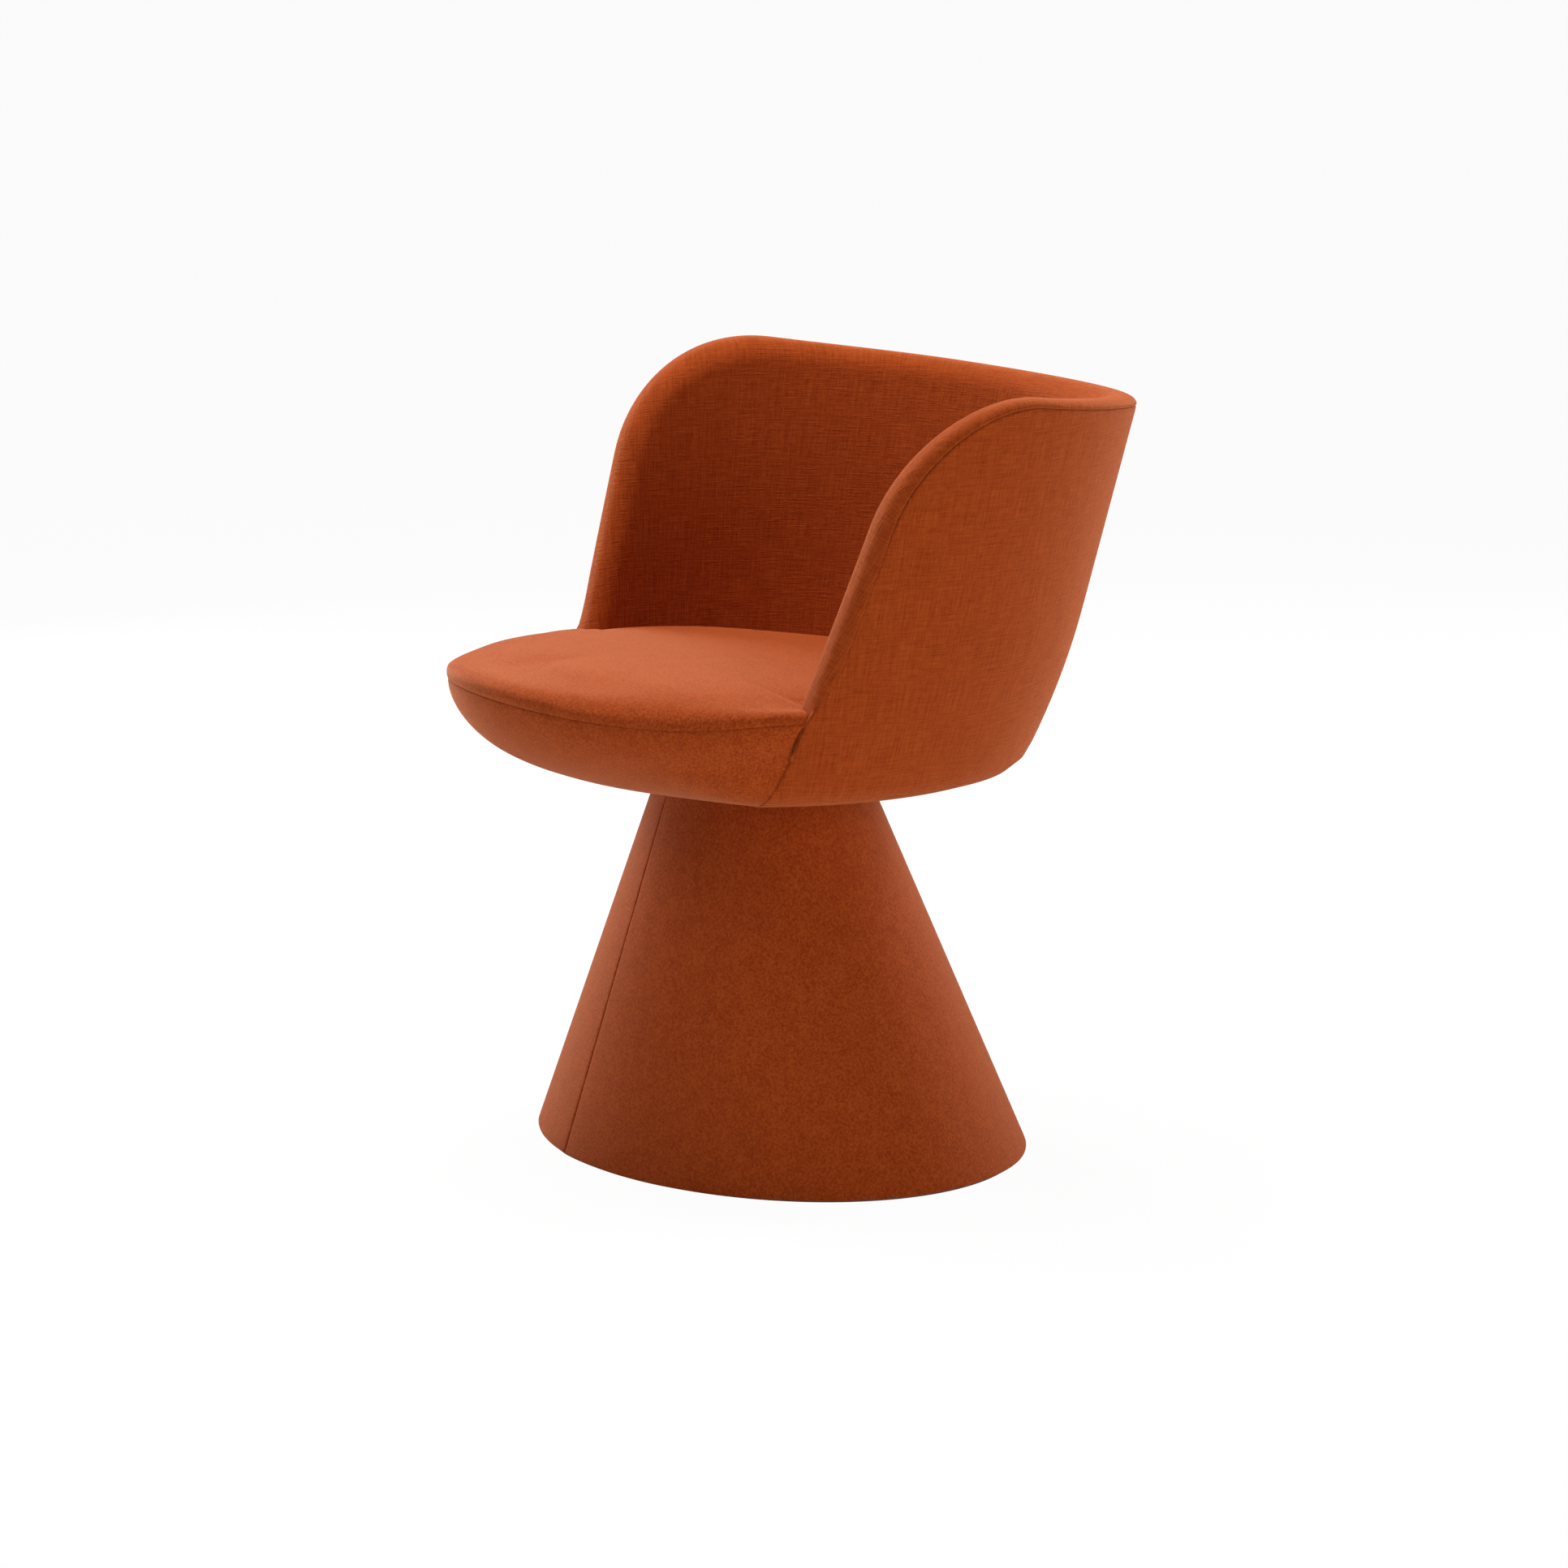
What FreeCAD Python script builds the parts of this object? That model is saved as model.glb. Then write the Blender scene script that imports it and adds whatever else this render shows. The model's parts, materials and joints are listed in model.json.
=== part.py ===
"""Pedestal armchair: an upholstered tub that swivels on a lens-shaped conical base.

Millimetres, +Z up. The origin is on the floor under the swivel axis, and the chair faces -Y.
"""
import FreeCAD, Part
import math
import os
import Sketcher

Vector = FreeCAD.Vector

SIZES = {
    # Tub, as seen from outside
    "overall_height": 741,
    "seam_height": 450,
    "underside_height": 360,
    "seat_radius": 295,
    "rim_radius": 343,
    "rim_level": 740,
    "tub_forward": 16,
    "recline_angle": 5.8,
    "rim_fall_angle": 7.4,
    "back_blend_level": 520,
    "back_side_radius": 560,
    "back_corner_radius": 38,
    "back_belly_radius": 1600,
    "back_flat_radius": 90,
    "dish_flat_radius": 92,
    "dish_step": 4,
    "wall_thickness": 42,
    "arm_setback": 87,
    "arm_lean": 17.3,
    "arm_round_radius": 140,
    "rim_round_outside": 11,
    "rim_round_inside": 22,
    "cover_seam_drop": 12,
    # Upholstery layers
    "cover_thickness": 3,
    "outer_foam": 5,
    "back_shell_thickness": 10,
    "edge_foam": 15,
    "layer_gap": 0.5,
    "pan_inset": 24,
    "pan_thickness": 10,
    "pad_edge_height": 24,
    "pad_edge_depth": 60,
    "pad_dome_radius": 3000,
    "pad_peak_height": 28,
    "pad_peak_forward": 170,
    "pad_rear_height": 6,
    "pad_clearance": 1,
    # Swivel
    "mount_block_radius": 70,
    "swivel_plate_radius": 68,
    "swivel_plate_thickness": 6,
    "spindle_radius": 12.5,
    "spindle_boss_radius": 24,
    "spindle_boss_length": 22,
    "running_clearance": 0.05,
    "thrust_washer_thickness": 3,
    "thrust_washer_radius": 24,
    "bush_wall": 4,
    "bush_length": 24,
    "bush_flange": 3,
    "bush_flange_radius": 24,
    "housing_length": 120,
    "housing_flange_radius": 44,
    "housing_flange_thickness": 6,
    "clip_thickness": 2,
    "clip_width": 5,
    "clip_groove_depth": 1.5,
    "clip_play": 0.3,
    "clip_sweep_angle": 320,
    "spindle_tail": 8,
    "bolt_circle": 50,
    "bolt_count": 4,
    "bolt_radius": 4,
    "bolt_head_radius": 7,
    "bolt_head_height": 5,
    "bolt_reach": 4,
    "bolt_hole_clearance": 0.5,
    "thread_clearance": 0.1,
    "washer_radius": 9,
    "washer_thickness": 1.6,
    "tee_nut_barrel_wall": 1.5,
    "tee_nut_flange_radius": 11,
    "tee_nut_flange": 1.5,
    "nut_pocket_radius": 14,
    "nut_pocket_height": 8,
    # Pedestal
    "base_half_width": 285,
    "base_half_depth": 226,
    "base_crease_offset": 15,
    "base_top_half_width": 120,
    "base_set_back": 12,
    "base_top_set_back": -6,
    "swivel_gap": 3,
    "base_cover_thickness": 2.5,
    "base_shell_thickness": 6,
    "floor_rim_height": 5,
    "floor_rim_width": 14,
    "floor_rim_inset": 3,
    "glide_thickness": 2,
    "glide_radius": 14,
    "glide_circle": 150,
    "glide_count": 6,
    "floor_plate_thickness": 8,
    "former_thickness": 18,
    "former_width": 45,
    "top_former_drop": 48,
    "column_radius": 32,
    "column_wall": 4,
    "flange_radius": 58,
    "flange_thickness": 5,
    "gusset_length": 60,
    "gusset_height": 90,
    "gusset_thickness": 6,
    "gusset_count": 4,
    "screw_radius": 2.5,
    "screw_head_radius": 4.5,
    "screw_head_height": 3,
    "screw_length": 16,
    "flange_screw_circle": 48,
    "flange_screw_count": 4,
    "former_screw_count": 6,
}

doc = FreeCAD.newDocument("pedestal_armchair")
sheet = doc.addObject("Spreadsheet::Sheet", "Sizes")
for row, (alias, number) in enumerate(SIZES.items(), start=1):
    sheet.set(f"A{row}", alias)
    sheet.set(f"B{row}", str(number))
    sheet.setAlias(f"B{row}", alias)
doc.recompute()

SUBPARTS = []


class Size:
    """A length that carries both its number and the sheet expression that drives it."""

    def __init__(self, number, text):
        self.number = float(number)
        self.text = text

    @staticmethod
    def of(item):
        return item if isinstance(item, Size) else Size(item, repr(item))

    def joined(self, other, sign, number):
        return Size(number, f"({self.text} {sign} {Size.of(other).text})")

    def __add__(self, other):
        return self.joined(other, "+", self.number + Size.of(other).number)

    def __sub__(self, other):
        return self.joined(other, "-", self.number - Size.of(other).number)


def size(alias):
    """A sheet cell as a Size, for sketches and features that follow it by expression."""
    return Size(sheet.get(alias), f"Sizes.{alias}")


def mm(alias):
    """A sheet cell as a plain number, for the free forms made from curves."""
    return float(sheet.get(alias))


def add_free_form(label, shape):
    """A node whose form comes from curves."""
    node = doc.addObject("Part::Feature", label)
    node.Shape = shape
    SUBPARTS.append(node)


def origin_feature(body, role):
    return next(item for item in body.Origin.OriginFeatures if item.Role == role)


def new_body(label):
    body = doc.addObject("PartDesign::Body", label)
    SUBPARTS.append(body)
    return body


def new_sketch(body, name, plane):
    sketch = body.newObject("Sketcher::SketchObject", name)
    sketch.AttachmentSupport = [(origin_feature(body, plane), "")]
    sketch.MapMode = "FlatFace"
    return sketch


def bind_point(sketch, geometry, end, across, along):
    """Hold one sketch point at driven distances from the sketch's origin."""
    for kind, axis, item in (("DistanceX", -2, across), ("DistanceY", -1, along)):
        if isinstance(item, Size):
            held = sketch.addConstraint(Sketcher.Constraint(kind, -1, 1, geometry, end, item.number))
            sketch.setExpression(f"Constraints[{held}]", item.text)
        else:
            sketch.addConstraint(Sketcher.Constraint("PointOnObject", geometry, end, axis))


def draw_polygon(sketch, points):
    """A closed outline through driven points; a plain 0 puts a point on the sketch's axis."""
    places = [Vector(Size.of(x).number, Size.of(y).number, 0) for x, y in points]
    count = len(places)
    for index in range(count):
        sketch.addGeometry(Part.LineSegment(places[index], places[(index + 1) % count]), False)
    for index in range(count):
        sketch.addConstraint(Sketcher.Constraint("Coincident", index, 2, (index + 1) % count, 1))
    for index, (x, y) in enumerate(points):
        bind_point(sketch, index, 1, x, y)


def turned(label, points, sweep=None):
    """A lathe-turned piece about the swivel axis, from its (radius, height) outline."""
    body = new_body(label)
    sketch = new_sketch(body, f"{label}_profile", "XZ_Plane")
    draw_polygon(sketch, points)
    feature = body.newObject("PartDesign::Revolution", f"{label}_turning")
    feature.Profile = sketch
    feature.ReferenceAxis = (sketch, ["V_Axis"])
    feature.Angle = 360
    if sweep:
        feature.setExpression("Angle", sweep.text)
    doc.recompute()
    return body


def repeat_round(body, feature, count):
    """Copies of a feature spaced evenly round the swivel axis."""
    pattern = body.newObject("PartDesign::PolarPattern", f"{feature.Name}_ring")
    pattern.Originals = [feature]
    pattern.Axis = (origin_feature(body, "Z_Axis"), [""])
    pattern.Angle = 360
    pattern.setExpression("Occurrences", count.text)
    body.Tip = pattern
    doc.recompute()


def turned_ring(label, circle, count, points):
    """A ring of identical turned pieces, each about its own upright axis on a pitch circle."""
    body = new_body(label)
    sketch = new_sketch(body, f"{label}_profile", "XZ_Plane")
    draw_polygon(sketch, [(circle + radius if radius else circle, height) for radius, height in points])
    axis_line = Part.LineSegment(Vector(circle.number, 0, 0), Vector(circle.number, 1, 0))
    axis = sketch.addGeometry(axis_line, True)
    bind_point(sketch, axis, 1, circle, 0)
    bind_point(sketch, axis, 2, circle, Size.of(1))
    feature = body.newObject("PartDesign::Revolution", f"{label}_turning")
    feature.Profile = sketch
    feature.ReferenceAxis = (sketch, ["Axis0"])
    feature.Angle = 360
    doc.recompute()
    repeat_round(body, feature, count)
    return body


def drill_ring(body, circle, radius, count):
    """Through holes on a pitch circle, upright."""
    before = body.Shape.Volume
    sketch = new_sketch(body, f"{body.Label}_hole_plan", "XY_Plane")
    hole = sketch.addGeometry(Part.Circle(Vector(circle.number, 0, 0), Vector(0, 0, 1), radius.number), False)
    bind_point(sketch, hole, 3, circle, 0)
    held = sketch.addConstraint(Sketcher.Constraint("Radius", hole, radius.number))
    sketch.setExpression(f"Constraints[{held}]", radius.text)
    pocket = body.newObject("PartDesign::Pocket", f"{body.Label}_holes")
    pocket.Profile = sketch
    pocket.Type = "ThroughAll"
    pocket.Reversed = True
    doc.recompute()
    repeat_round(body, pocket, count)
    if body.Shape.Volume >= before:
        raise RuntimeError(f"{body.Label}: the holes cut nothing")


# Levels of the swivel, from the seat's underside down
underside = size("underside_height")
plate_bottom = underside - size("swivel_plate_thickness")
boss_bottom = plate_bottom - size("spindle_boss_length")
washer_top = boss_bottom - size("running_clearance")
washer_bottom = washer_top - size("thrust_washer_thickness")
housing_top = washer_bottom - size("bush_flange")
housing_bottom = housing_top - size("housing_length")
column_top = housing_top - size("housing_flange_thickness")
lower_flange_bottom = housing_bottom - size("bush_flange")
clip_top = lower_flange_bottom - size("clip_play")
clip_bottom = clip_top - size("clip_thickness")
spindle_bottom = clip_bottom - size("spindle_tail")
pan_bottom = underside + size("pan_inset")
pan_top = pan_bottom + size("pan_thickness")
# Levels of the pedestal, from the floor up
floor_plate_bottom = size("glide_thickness")
floor_plate_top = floor_plate_bottom + size("floor_plate_thickness")
base_top = underside - size("swivel_gap")
top_former_top = base_top - size("top_former_drop")
top_former_bottom = top_former_top - size("former_thickness")
flange_bottom = top_former_bottom - size("flange_thickness")
# Radii of the swivel
spindle = size("spindle_radius")
bush_bore = spindle + size("running_clearance")
housing_bore = bush_bore + size("bush_wall")
column = size("column_radius")
column_bore = column - size("column_wall")
bolt = size("bolt_radius")
bolt_circle = size("bolt_circle")
bolt_count = size("bolt_count")
bolt_hole = bolt + size("bolt_hole_clearance")
tee_bore = bolt + size("thread_clearance")
tee_barrel = tee_bore + size("tee_nut_barrel_wall")


def make_swivel_on_base():
    """Column, bearing housing, bushes and thrust washer, which stay with the pedestal."""
    turned("column_tube", [(column_bore, floor_plate_top), (column, floor_plate_top),
                           (column, column_top), (column_bore, column_top)])
    flange = size("flange_radius")
    body = turned("column_flange", [(column, flange_bottom), (flange, flange_bottom),
                                    (flange, top_former_bottom), (column, top_former_bottom)])
    drill_ring(body, size("flange_screw_circle"), size("screw_radius") + size("thread_clearance"),
               size("flange_screw_count"))
    housing_flange = size("housing_flange_radius")
    turned("bearing_housing", [(housing_bore, housing_bottom), (column_bore, housing_bottom),
                               (column_bore, column_top), (housing_flange, column_top),
                               (housing_flange, housing_top), (housing_bore, housing_top)])
    bush_flange = size("bush_flange_radius")
    bush_length = size("bush_length")
    upper_end, lower_end = housing_top - bush_length, housing_bottom + bush_length
    turned("upper_bush", [(bush_bore, upper_end), (housing_bore, upper_end), (housing_bore, housing_top),
                          (bush_flange, housing_top), (bush_flange, washer_bottom),
                          (bush_bore, washer_bottom)])
    turned("lower_bush", [(bush_bore, lower_flange_bottom), (bush_flange, lower_flange_bottom),
                          (bush_flange, housing_bottom), (housing_bore, housing_bottom),
                          (housing_bore, lower_end), (bush_bore, lower_end)])
    washer = size("thrust_washer_radius")
    washer_bore = spindle + size("bolt_hole_clearance")
    turned("thrust_washer", [(washer_bore, washer_bottom), (washer, washer_bottom),
                             (washer, washer_top), (washer_bore, washer_top)])


def make_column_gussets():
    """Triangular plates that brace the column on the floor plate."""
    body = new_body("column_gussets")
    sketch = new_sketch(body, "gusset_outline", "XZ_Plane")
    toe = column + size("gusset_length")
    crown = floor_plate_top + size("gusset_height")
    nose = size("gusset_thickness")
    draw_polygon(sketch, [(column, floor_plate_top), (toe, floor_plate_top), (toe, floor_plate_top + nose),
                          (column + nose, crown), (column, crown)])
    pad = body.newObject("PartDesign::Pad", "gusset_plate")
    pad.Profile = sketch
    pad.Midplane = True
    pad.setExpression("Length", nose.text)
    doc.recompute()
    repeat_round(body, pad, size("gusset_count"))


def make_swivel_on_seat():
    """Spindle, clip, swivel plate and its fastenings, which turn with the seat."""
    boss = size("spindle_boss_radius")
    groove = spindle - size("clip_groove_depth")
    turned("swivel_spindle", [(0, spindle_bottom), (spindle, spindle_bottom), (spindle, clip_bottom),
                              (groove, clip_bottom), (groove, clip_top), (spindle, clip_top),
                              (spindle, boss_bottom), (boss, boss_bottom), (boss, plate_bottom),
                              (0, plate_bottom)])
    clip_edge = groove + size("clip_width")
    turned("spindle_clip", [(groove, clip_bottom), (clip_edge, clip_bottom), (clip_edge, clip_top),
                            (groove, clip_top)], size("clip_sweep_angle"))
    plate = size("swivel_plate_radius")
    body = turned("swivel_plate", [(0, plate_bottom), (plate, plate_bottom), (plate, underside),
                                   (0, underside)])
    drill_ring(body, bolt_circle, bolt_hole, bolt_count)
    block = size("mount_block_radius")
    body = turned("mount_block", [(0, underside), (block, underside), (block, pan_bottom), (0, pan_bottom)])
    drill_ring(body, bolt_circle, bolt_hole, bolt_count)
    seat_under_head = plate_bottom - size("washer_thickness")
    head = size("bolt_head_radius")
    head_bottom = seat_under_head - size("bolt_head_height")
    bolt_end = pan_top + size("bolt_reach")
    turned_ring("plate_bolts", bolt_circle, bolt_count,
                [(0, head_bottom), (head, head_bottom), (head, seat_under_head), (bolt, seat_under_head),
                 (bolt, bolt_end), (0, bolt_end)])
    turned_ring("plate_washers", bolt_circle, bolt_count,
                [(bolt_hole, seat_under_head), (size("washer_radius"), seat_under_head),
                 (size("washer_radius"), plate_bottom), (bolt_hole, plate_bottom)])
    tee_flange = size("tee_nut_flange_radius")
    tee_top = pan_top + size("tee_nut_flange")
    turned_ring("tee_nuts", bolt_circle, bolt_count,
                [(tee_bore, pan_bottom), (tee_barrel, pan_bottom), (tee_barrel, pan_top),
                 (tee_flange, pan_top), (tee_flange, tee_top), (tee_bore, tee_top)])


def ellipse_arc(centre, x_axis, y_axis, start, end):
    """An arc of the ellipse with these half axes, between two angles from x_axis towards y_axis."""
    if x_axis.Length >= y_axis.Length:
        curve = Part.Ellipse(centre + x_axis, centre + y_axis, centre)
        return Part.ArcOfEllipse(curve, start, end).toShape()
    curve = Part.Ellipse(centre + y_axis, centre + x_axis, centre)
    return Part.ArcOfEllipse(curve, math.pi / 2 - end, math.pi / 2 - start).toShape()


def base_section(level, inset):
    """Half axes, crease offset and centre of the lens-shaped pedestal at one level."""
    rise = level / base_top.number
    scale = 1 + rise * (mm("base_top_half_width") / mm("base_half_width") - 1)
    offset = mm("base_crease_offset")
    half_width = mm("base_half_width") + offset
    half_depth = mm("base_half_depth") / math.sqrt(1 - (offset / half_width) ** 2)
    centre = mm("base_set_back") + rise * (mm("base_top_set_back") - mm("base_set_back"))
    return half_width * scale - inset, half_depth * scale - inset, offset * scale, centre


def base_half_outline(level, inset):
    """Closed outline of the +X half of the lens: one arc from crease to crease and its chord."""
    half_width, half_depth, offset, centre = base_section(level, inset)
    swing = math.acos(offset / half_width)
    arc = ellipse_arc(Vector(-offset, centre, level), Vector(half_width, 0, 0), Vector(0, half_depth, 0),
                      -swing, swing)
    front, rear = arc.valueAt(arc.FirstParameter), arc.valueAt(arc.LastParameter)
    return Part.Wire([arc, Part.makeLine(rear, front)])


def base_half(bottom, top, inset):
    """The +X half of the solid tapering lens between two levels."""
    return Part.makeLoft([base_half_outline(bottom, inset), base_half_outline(top, inset)], True, True)


def mirrored(shape):
    return shape.mirror(Vector(), Vector(1, 0, 0))


def base_whole(bottom, top, inset):
    half = base_half(bottom, top, inset)
    return half.fuse(mirrored(half)).removeSplitter()


def straight_lens(bottom, top, level, inset):
    """An upright-sided lens plate with the pedestal's outline at one level."""
    half = Part.Face(base_half_outline(level, inset)).extrude(Vector(0, 0, top - bottom))
    half.translate(Vector(0, 0, bottom - level))
    return half.fuse(mirrored(half)).removeSplitter()


def upright_cylinder(radius, bottom, top, x=0.0, y=0.0):
    return Part.makeCylinder(radius, top - bottom, Vector(x, y, bottom))


def screw(x, y, under_head, direction):
    """A countersunk wood screw; direction is +1 for one driven upwards."""
    up = Vector(0, 0, direction)
    head_height = mm("screw_head_height")
    head = Part.makeCone(mm("screw_head_radius"), mm("screw_radius"), head_height,
                         Vector(x, y, under_head) - up * head_height, up)
    shank = Part.makeCylinder(mm("screw_radius"), mm("screw_length"), Vector(x, y, under_head), up)
    return head.fuse(shank).removeSplitter()


def make_pedestal():
    """Wrapped half shells on two plywood formers, over a floor plate with a dark edge rim."""
    rim_top = mm("floor_rim_height")
    top = base_top.number
    plate_bottom_level, plate_top_level = floor_plate_bottom.number, floor_plate_top.number
    rim_inset = mm("floor_rim_inset")
    rim_inner = rim_inset + mm("floor_rim_width")
    shell_outer = mm("base_cover_thickness")
    shell_inner = shell_outer + mm("base_shell_thickness")
    gap = mm("layer_gap")

    rim = straight_lens(0, rim_top, 0, rim_inset).cut(straight_lens(0, rim_top, 0, rim_inner))
    add_free_form("floor_rim", rim)

    layers = (("base_cover", 0.0, shell_outer), ("base_shell", shell_outer, shell_inner))
    for name, outer, inner in layers:
        half = base_half(rim_top, top, outer).cut(base_half(rim_top, top, inner))
        add_free_form(f"left_{name}", half)
        add_free_form(f"right_{name}", mirrored(half))

    plate = straight_lens(plate_bottom_level, plate_top_level, 0, rim_inner + gap)
    bottom_former_top = plate_top_level + mm("former_thickness")
    former_inner = shell_inner + mm("former_width")
    former = base_whole(plate_top_level, bottom_former_top, shell_inner)
    former = former.cut(straight_lens(plate_top_level, bottom_former_top, bottom_former_top, former_inner))

    screw_inset = shell_inner + mm("former_width") / 2
    half_width, half_depth, offset, centre = base_section(plate_top_level, screw_inset)
    screws = []
    count = int(mm("former_screw_count"))
    for index in range(count):
        angle = 2 * math.pi * (index + 0.5) / count
        x = half_width * math.cos(angle)
        x -= math.copysign(offset, x)
        y = centre + half_depth * math.sin(angle)
        screws.append(screw(x, y, plate_bottom_level + mm("screw_head_height"), 1))
    screws = Part.makeCompound(screws)
    add_free_form("floor_plate", plate.cut(screws))
    add_free_form("bottom_former", former.cut(screws))
    add_free_form("former_screws", screws)

    former_bottom, former_top = top_former_bottom.number, top_former_top.number
    top_former = base_whole(former_bottom, former_top, shell_inner)
    top_former = top_former.cut(upright_cylinder(mm("column_radius") + gap, former_bottom, former_top))
    flange_screws = []
    circle = mm("flange_screw_circle")
    count = int(mm("flange_screw_count"))
    for index in range(count):
        angle = 2 * math.pi * index / count
        x, y = circle * math.cos(angle), circle * math.sin(angle)
        flange_screws.append(screw(x, y, flange_bottom.number, 1))
    flange_screws = Part.makeCompound(flange_screws)
    add_free_form("top_former", top_former.cut(flange_screws))
    add_free_form("flange_screws", flange_screws)


def make_floor_glides():
    """Felt pads under the floor plate: a ring of them, and one below the column."""
    glide = size("glide_radius")
    outline = [(0, 0), (glide, 0), (glide, floor_plate_bottom), (0, floor_plate_bottom)]
    turned_ring("floor_glides", size("glide_circle"), size("glide_count"), outline)
    turned("centre_glide", outline)


# The tub's own measures
SEAM = mm("seam_height")
UNDER = mm("underside_height")
TUB_AXIS = -mm("tub_forward")
FLARE = (mm("rim_radius") - mm("seat_radius")) / (mm("rim_level") - SEAM)
RECLINE = math.tan(math.radians(mm("recline_angle")))
ABOVE = mm("overall_height") + mm("wall_thickness")
WIDE = 2 * mm("rim_radius")
COVER = mm("cover_thickness")
SHELL_OUTER = COVER + mm("outer_foam")
SHELL_INNER = SHELL_OUTER + mm("back_shell_thickness")
HEAL_TOLERANCE = 0.001


def tub_point(radius, level):
    """A point of a tub profile, drawn in the plane that faces forwards from the tub's axis."""
    return Vector(0, TUB_AXIS - radius, level)


def spin(edges):
    """The solid swept by a closed profile about the tub's upright axis."""
    return Part.Face(Part.Wire(edges)).revolve(Vector(0, TUB_AXIS, 0), Vector(0, 0, 1), 360)


def chain(*points):
    return [Part.makeLine(first, second) for first, second in zip(points, points[1:])]


def wall_radius(level, inset):
    """Radius of the flared wall at a level, set in square to its face."""
    return mm("seat_radius") + FLARE * (level - SEAM) - inset * math.sqrt(1 + FLARE ** 2)


def circles_meet(centre_a, radius_a, centre_b, radius_b):
    """The meeting point of two profile circles on the side away from the tub's axis and low."""
    between = centre_b - centre_a
    along = (radius_a ** 2 - radius_b ** 2 + between.Length ** 2) / (2 * between.Length)
    aside = math.sqrt(radius_a ** 2 - along ** 2)
    forward = between.normalize()
    return centre_a + forward * along + Vector(0, -forward.z, forward.y) * aside


def back_solid(inset):
    """The back's form filled in: a nearly flat belly, a round corner, a bowed side and the flared wall.

    The three arcs meet smoothly, and every inset keeps their centres, so that the layers are parallel.
    """
    side, corner, belly = mm("back_side_radius"), mm("back_corner_radius"), mm("back_belly_radius")
    blend = mm("back_blend_level")
    inward = Vector(0, 1, FLARE).normalize()
    side_centre = tub_point(wall_radius(blend, 0), blend) + inward * side
    belly_centre = tub_point(mm("back_flat_radius"), UNDER + belly)
    corner_centre = circles_meet(side_centre, side - corner, belly_centre, belly - corner)
    from_side = (corner_centre - side_centre).normalize()
    from_belly = (corner_centre - belly_centre).normalize()

    def arc(centre, radius, first, last):
        first, last = first.normalize(), last.normalize()
        middle = (first + last).normalize()
        return Part.Arc(centre + first * radius, centre + middle * radius, centre + last * radius).toShape()

    wall_foot = side_centre - inward * (side - inset)
    flat_edge = tub_point(mm("back_flat_radius"), UNDER + inset)
    arcs = [arc(side_centre, side - inset, inward * -1, from_side),
            arc(corner_centre, corner - inset, from_side, from_belly),
            arc(belly_centre, belly - inset, from_belly, Vector(0, 0, -1))]
    return spin(arcs + chain(flat_edge, tub_point(0, UNDER + inset), tub_point(0, ABOVE),
                             tub_point(wall_radius(ABOVE, inset), ABOVE), wall_foot))


def seat_space(inset):
    """The open space inside the back above the seam, at an inset from the wall's outer face."""
    return spin(chain(tub_point(0, SEAM), tub_point(wall_radius(SEAM, inset), SEAM),
                      tub_point(wall_radius(ABOVE, inset), ABOVE), tub_point(0, ABOVE), tub_point(0, SEAM)))


def arm_block(inset):
    """What lies behind the arms' front line: it leans back, rounds over and falls towards the rear."""
    lean = math.atan(math.tan(math.radians(mm("arm_lean"))) - RECLINE)
    fall = math.radians(mm("rim_fall_angle"))
    full_radius = mm("arm_round_radius")
    centre_level = mm("overall_height") - full_radius
    touch_level = centre_level + full_radius * math.sin(lean)
    touch = -mm("arm_setback") + math.tan(lean) * (touch_level - SEAM)
    centre = Vector(0, touch + full_radius * math.cos(lean), centre_level)
    radius = full_radius - inset

    def on_arc(angle):
        return centre + Vector(0, math.sin(angle), math.cos(angle)) * radius

    start_angle = lean - math.pi / 2
    start, end = on_arc(start_angle), on_arc(fall)
    low = UNDER - mm("wall_thickness")
    foot = start - Vector(0, math.tan(lean), 1) * (start.z - low)
    rear = end + Vector(0, math.cos(fall), -math.sin(fall)) * WIDE
    edges = chain(foot, start)
    edges.append(Part.Arc(start, on_arc((start_angle + fall) / 2), end).toShape())
    edges += chain(end, rear, Vector(0, rear.y, low), foot)
    return Part.Face(Part.Wire(edges)).extrude(Vector(2 * WIDE, 0, 0)).translated(Vector(-WIDE, 0, 0))


def slab(bottom, top):
    return Part.makeBox(2 * WIDE, 2 * WIDE, top - bottom, Vector(-WIDE, -WIDE, bottom))


def reclined(shape):
    """Lean an upright form back from the seam level, keeping every level section round."""
    lean_back = FreeCAD.Matrix()
    lean_back.A23 = RECLINE
    lean_back.A24 = -RECLINE * SEAM
    leaned = shape.transformGeometry(lean_back)
    if not leaned.isValid():
        leaned.fix(HEAL_TOLERANCE, HEAL_TOLERANCE, HEAL_TOLERANCE)
    return leaned


def rim_edges(shape, front, outside):
    """Edges along the arms' front line and the rim, on the wall's outer or inner face."""
    middle_inset = mm("wall_thickness") / 2
    found = []
    for edge in shape.Edges:
        middle = edge.valueAt((edge.FirstParameter + edge.LastParameter) / 2)
        beyond = math.hypot(middle.x, middle.y - TUB_AXIS) - wall_radius(middle.z, middle_inset)
        near_face = abs(beyond) > middle_inset / 2 and (beyond > 0) == outside
        if near_face and front.distToShape(Part.Vertex(middle))[0] < HEAL_TOLERANCE:
            found.append(edge)
    return found


def back_wall(inset):
    """The back above the seam with its rounded rim, at an inset from the finished surface."""
    block = arm_block(inset)
    front = block.Shells[0]
    form = back_solid(inset).cut(seat_space(mm("wall_thickness") - inset)).common(block)
    form = form.common(slab(SEAM, ABOVE))
    form = form.makeFillet(mm("rim_round_outside") - inset, rim_edges(form, front, True))
    return form.makeFillet(mm("rim_round_inside") - inset, rim_edges(form, front, False))


def low_ring(outer, inner, setback):
    """The back below the seam, between two insets, behind the arms' front line."""
    ring = back_solid(outer).cut(back_solid(inner)).common(arm_block(setback))
    return ring.common(slab(UNDER - COVER, SEAM))


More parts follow.
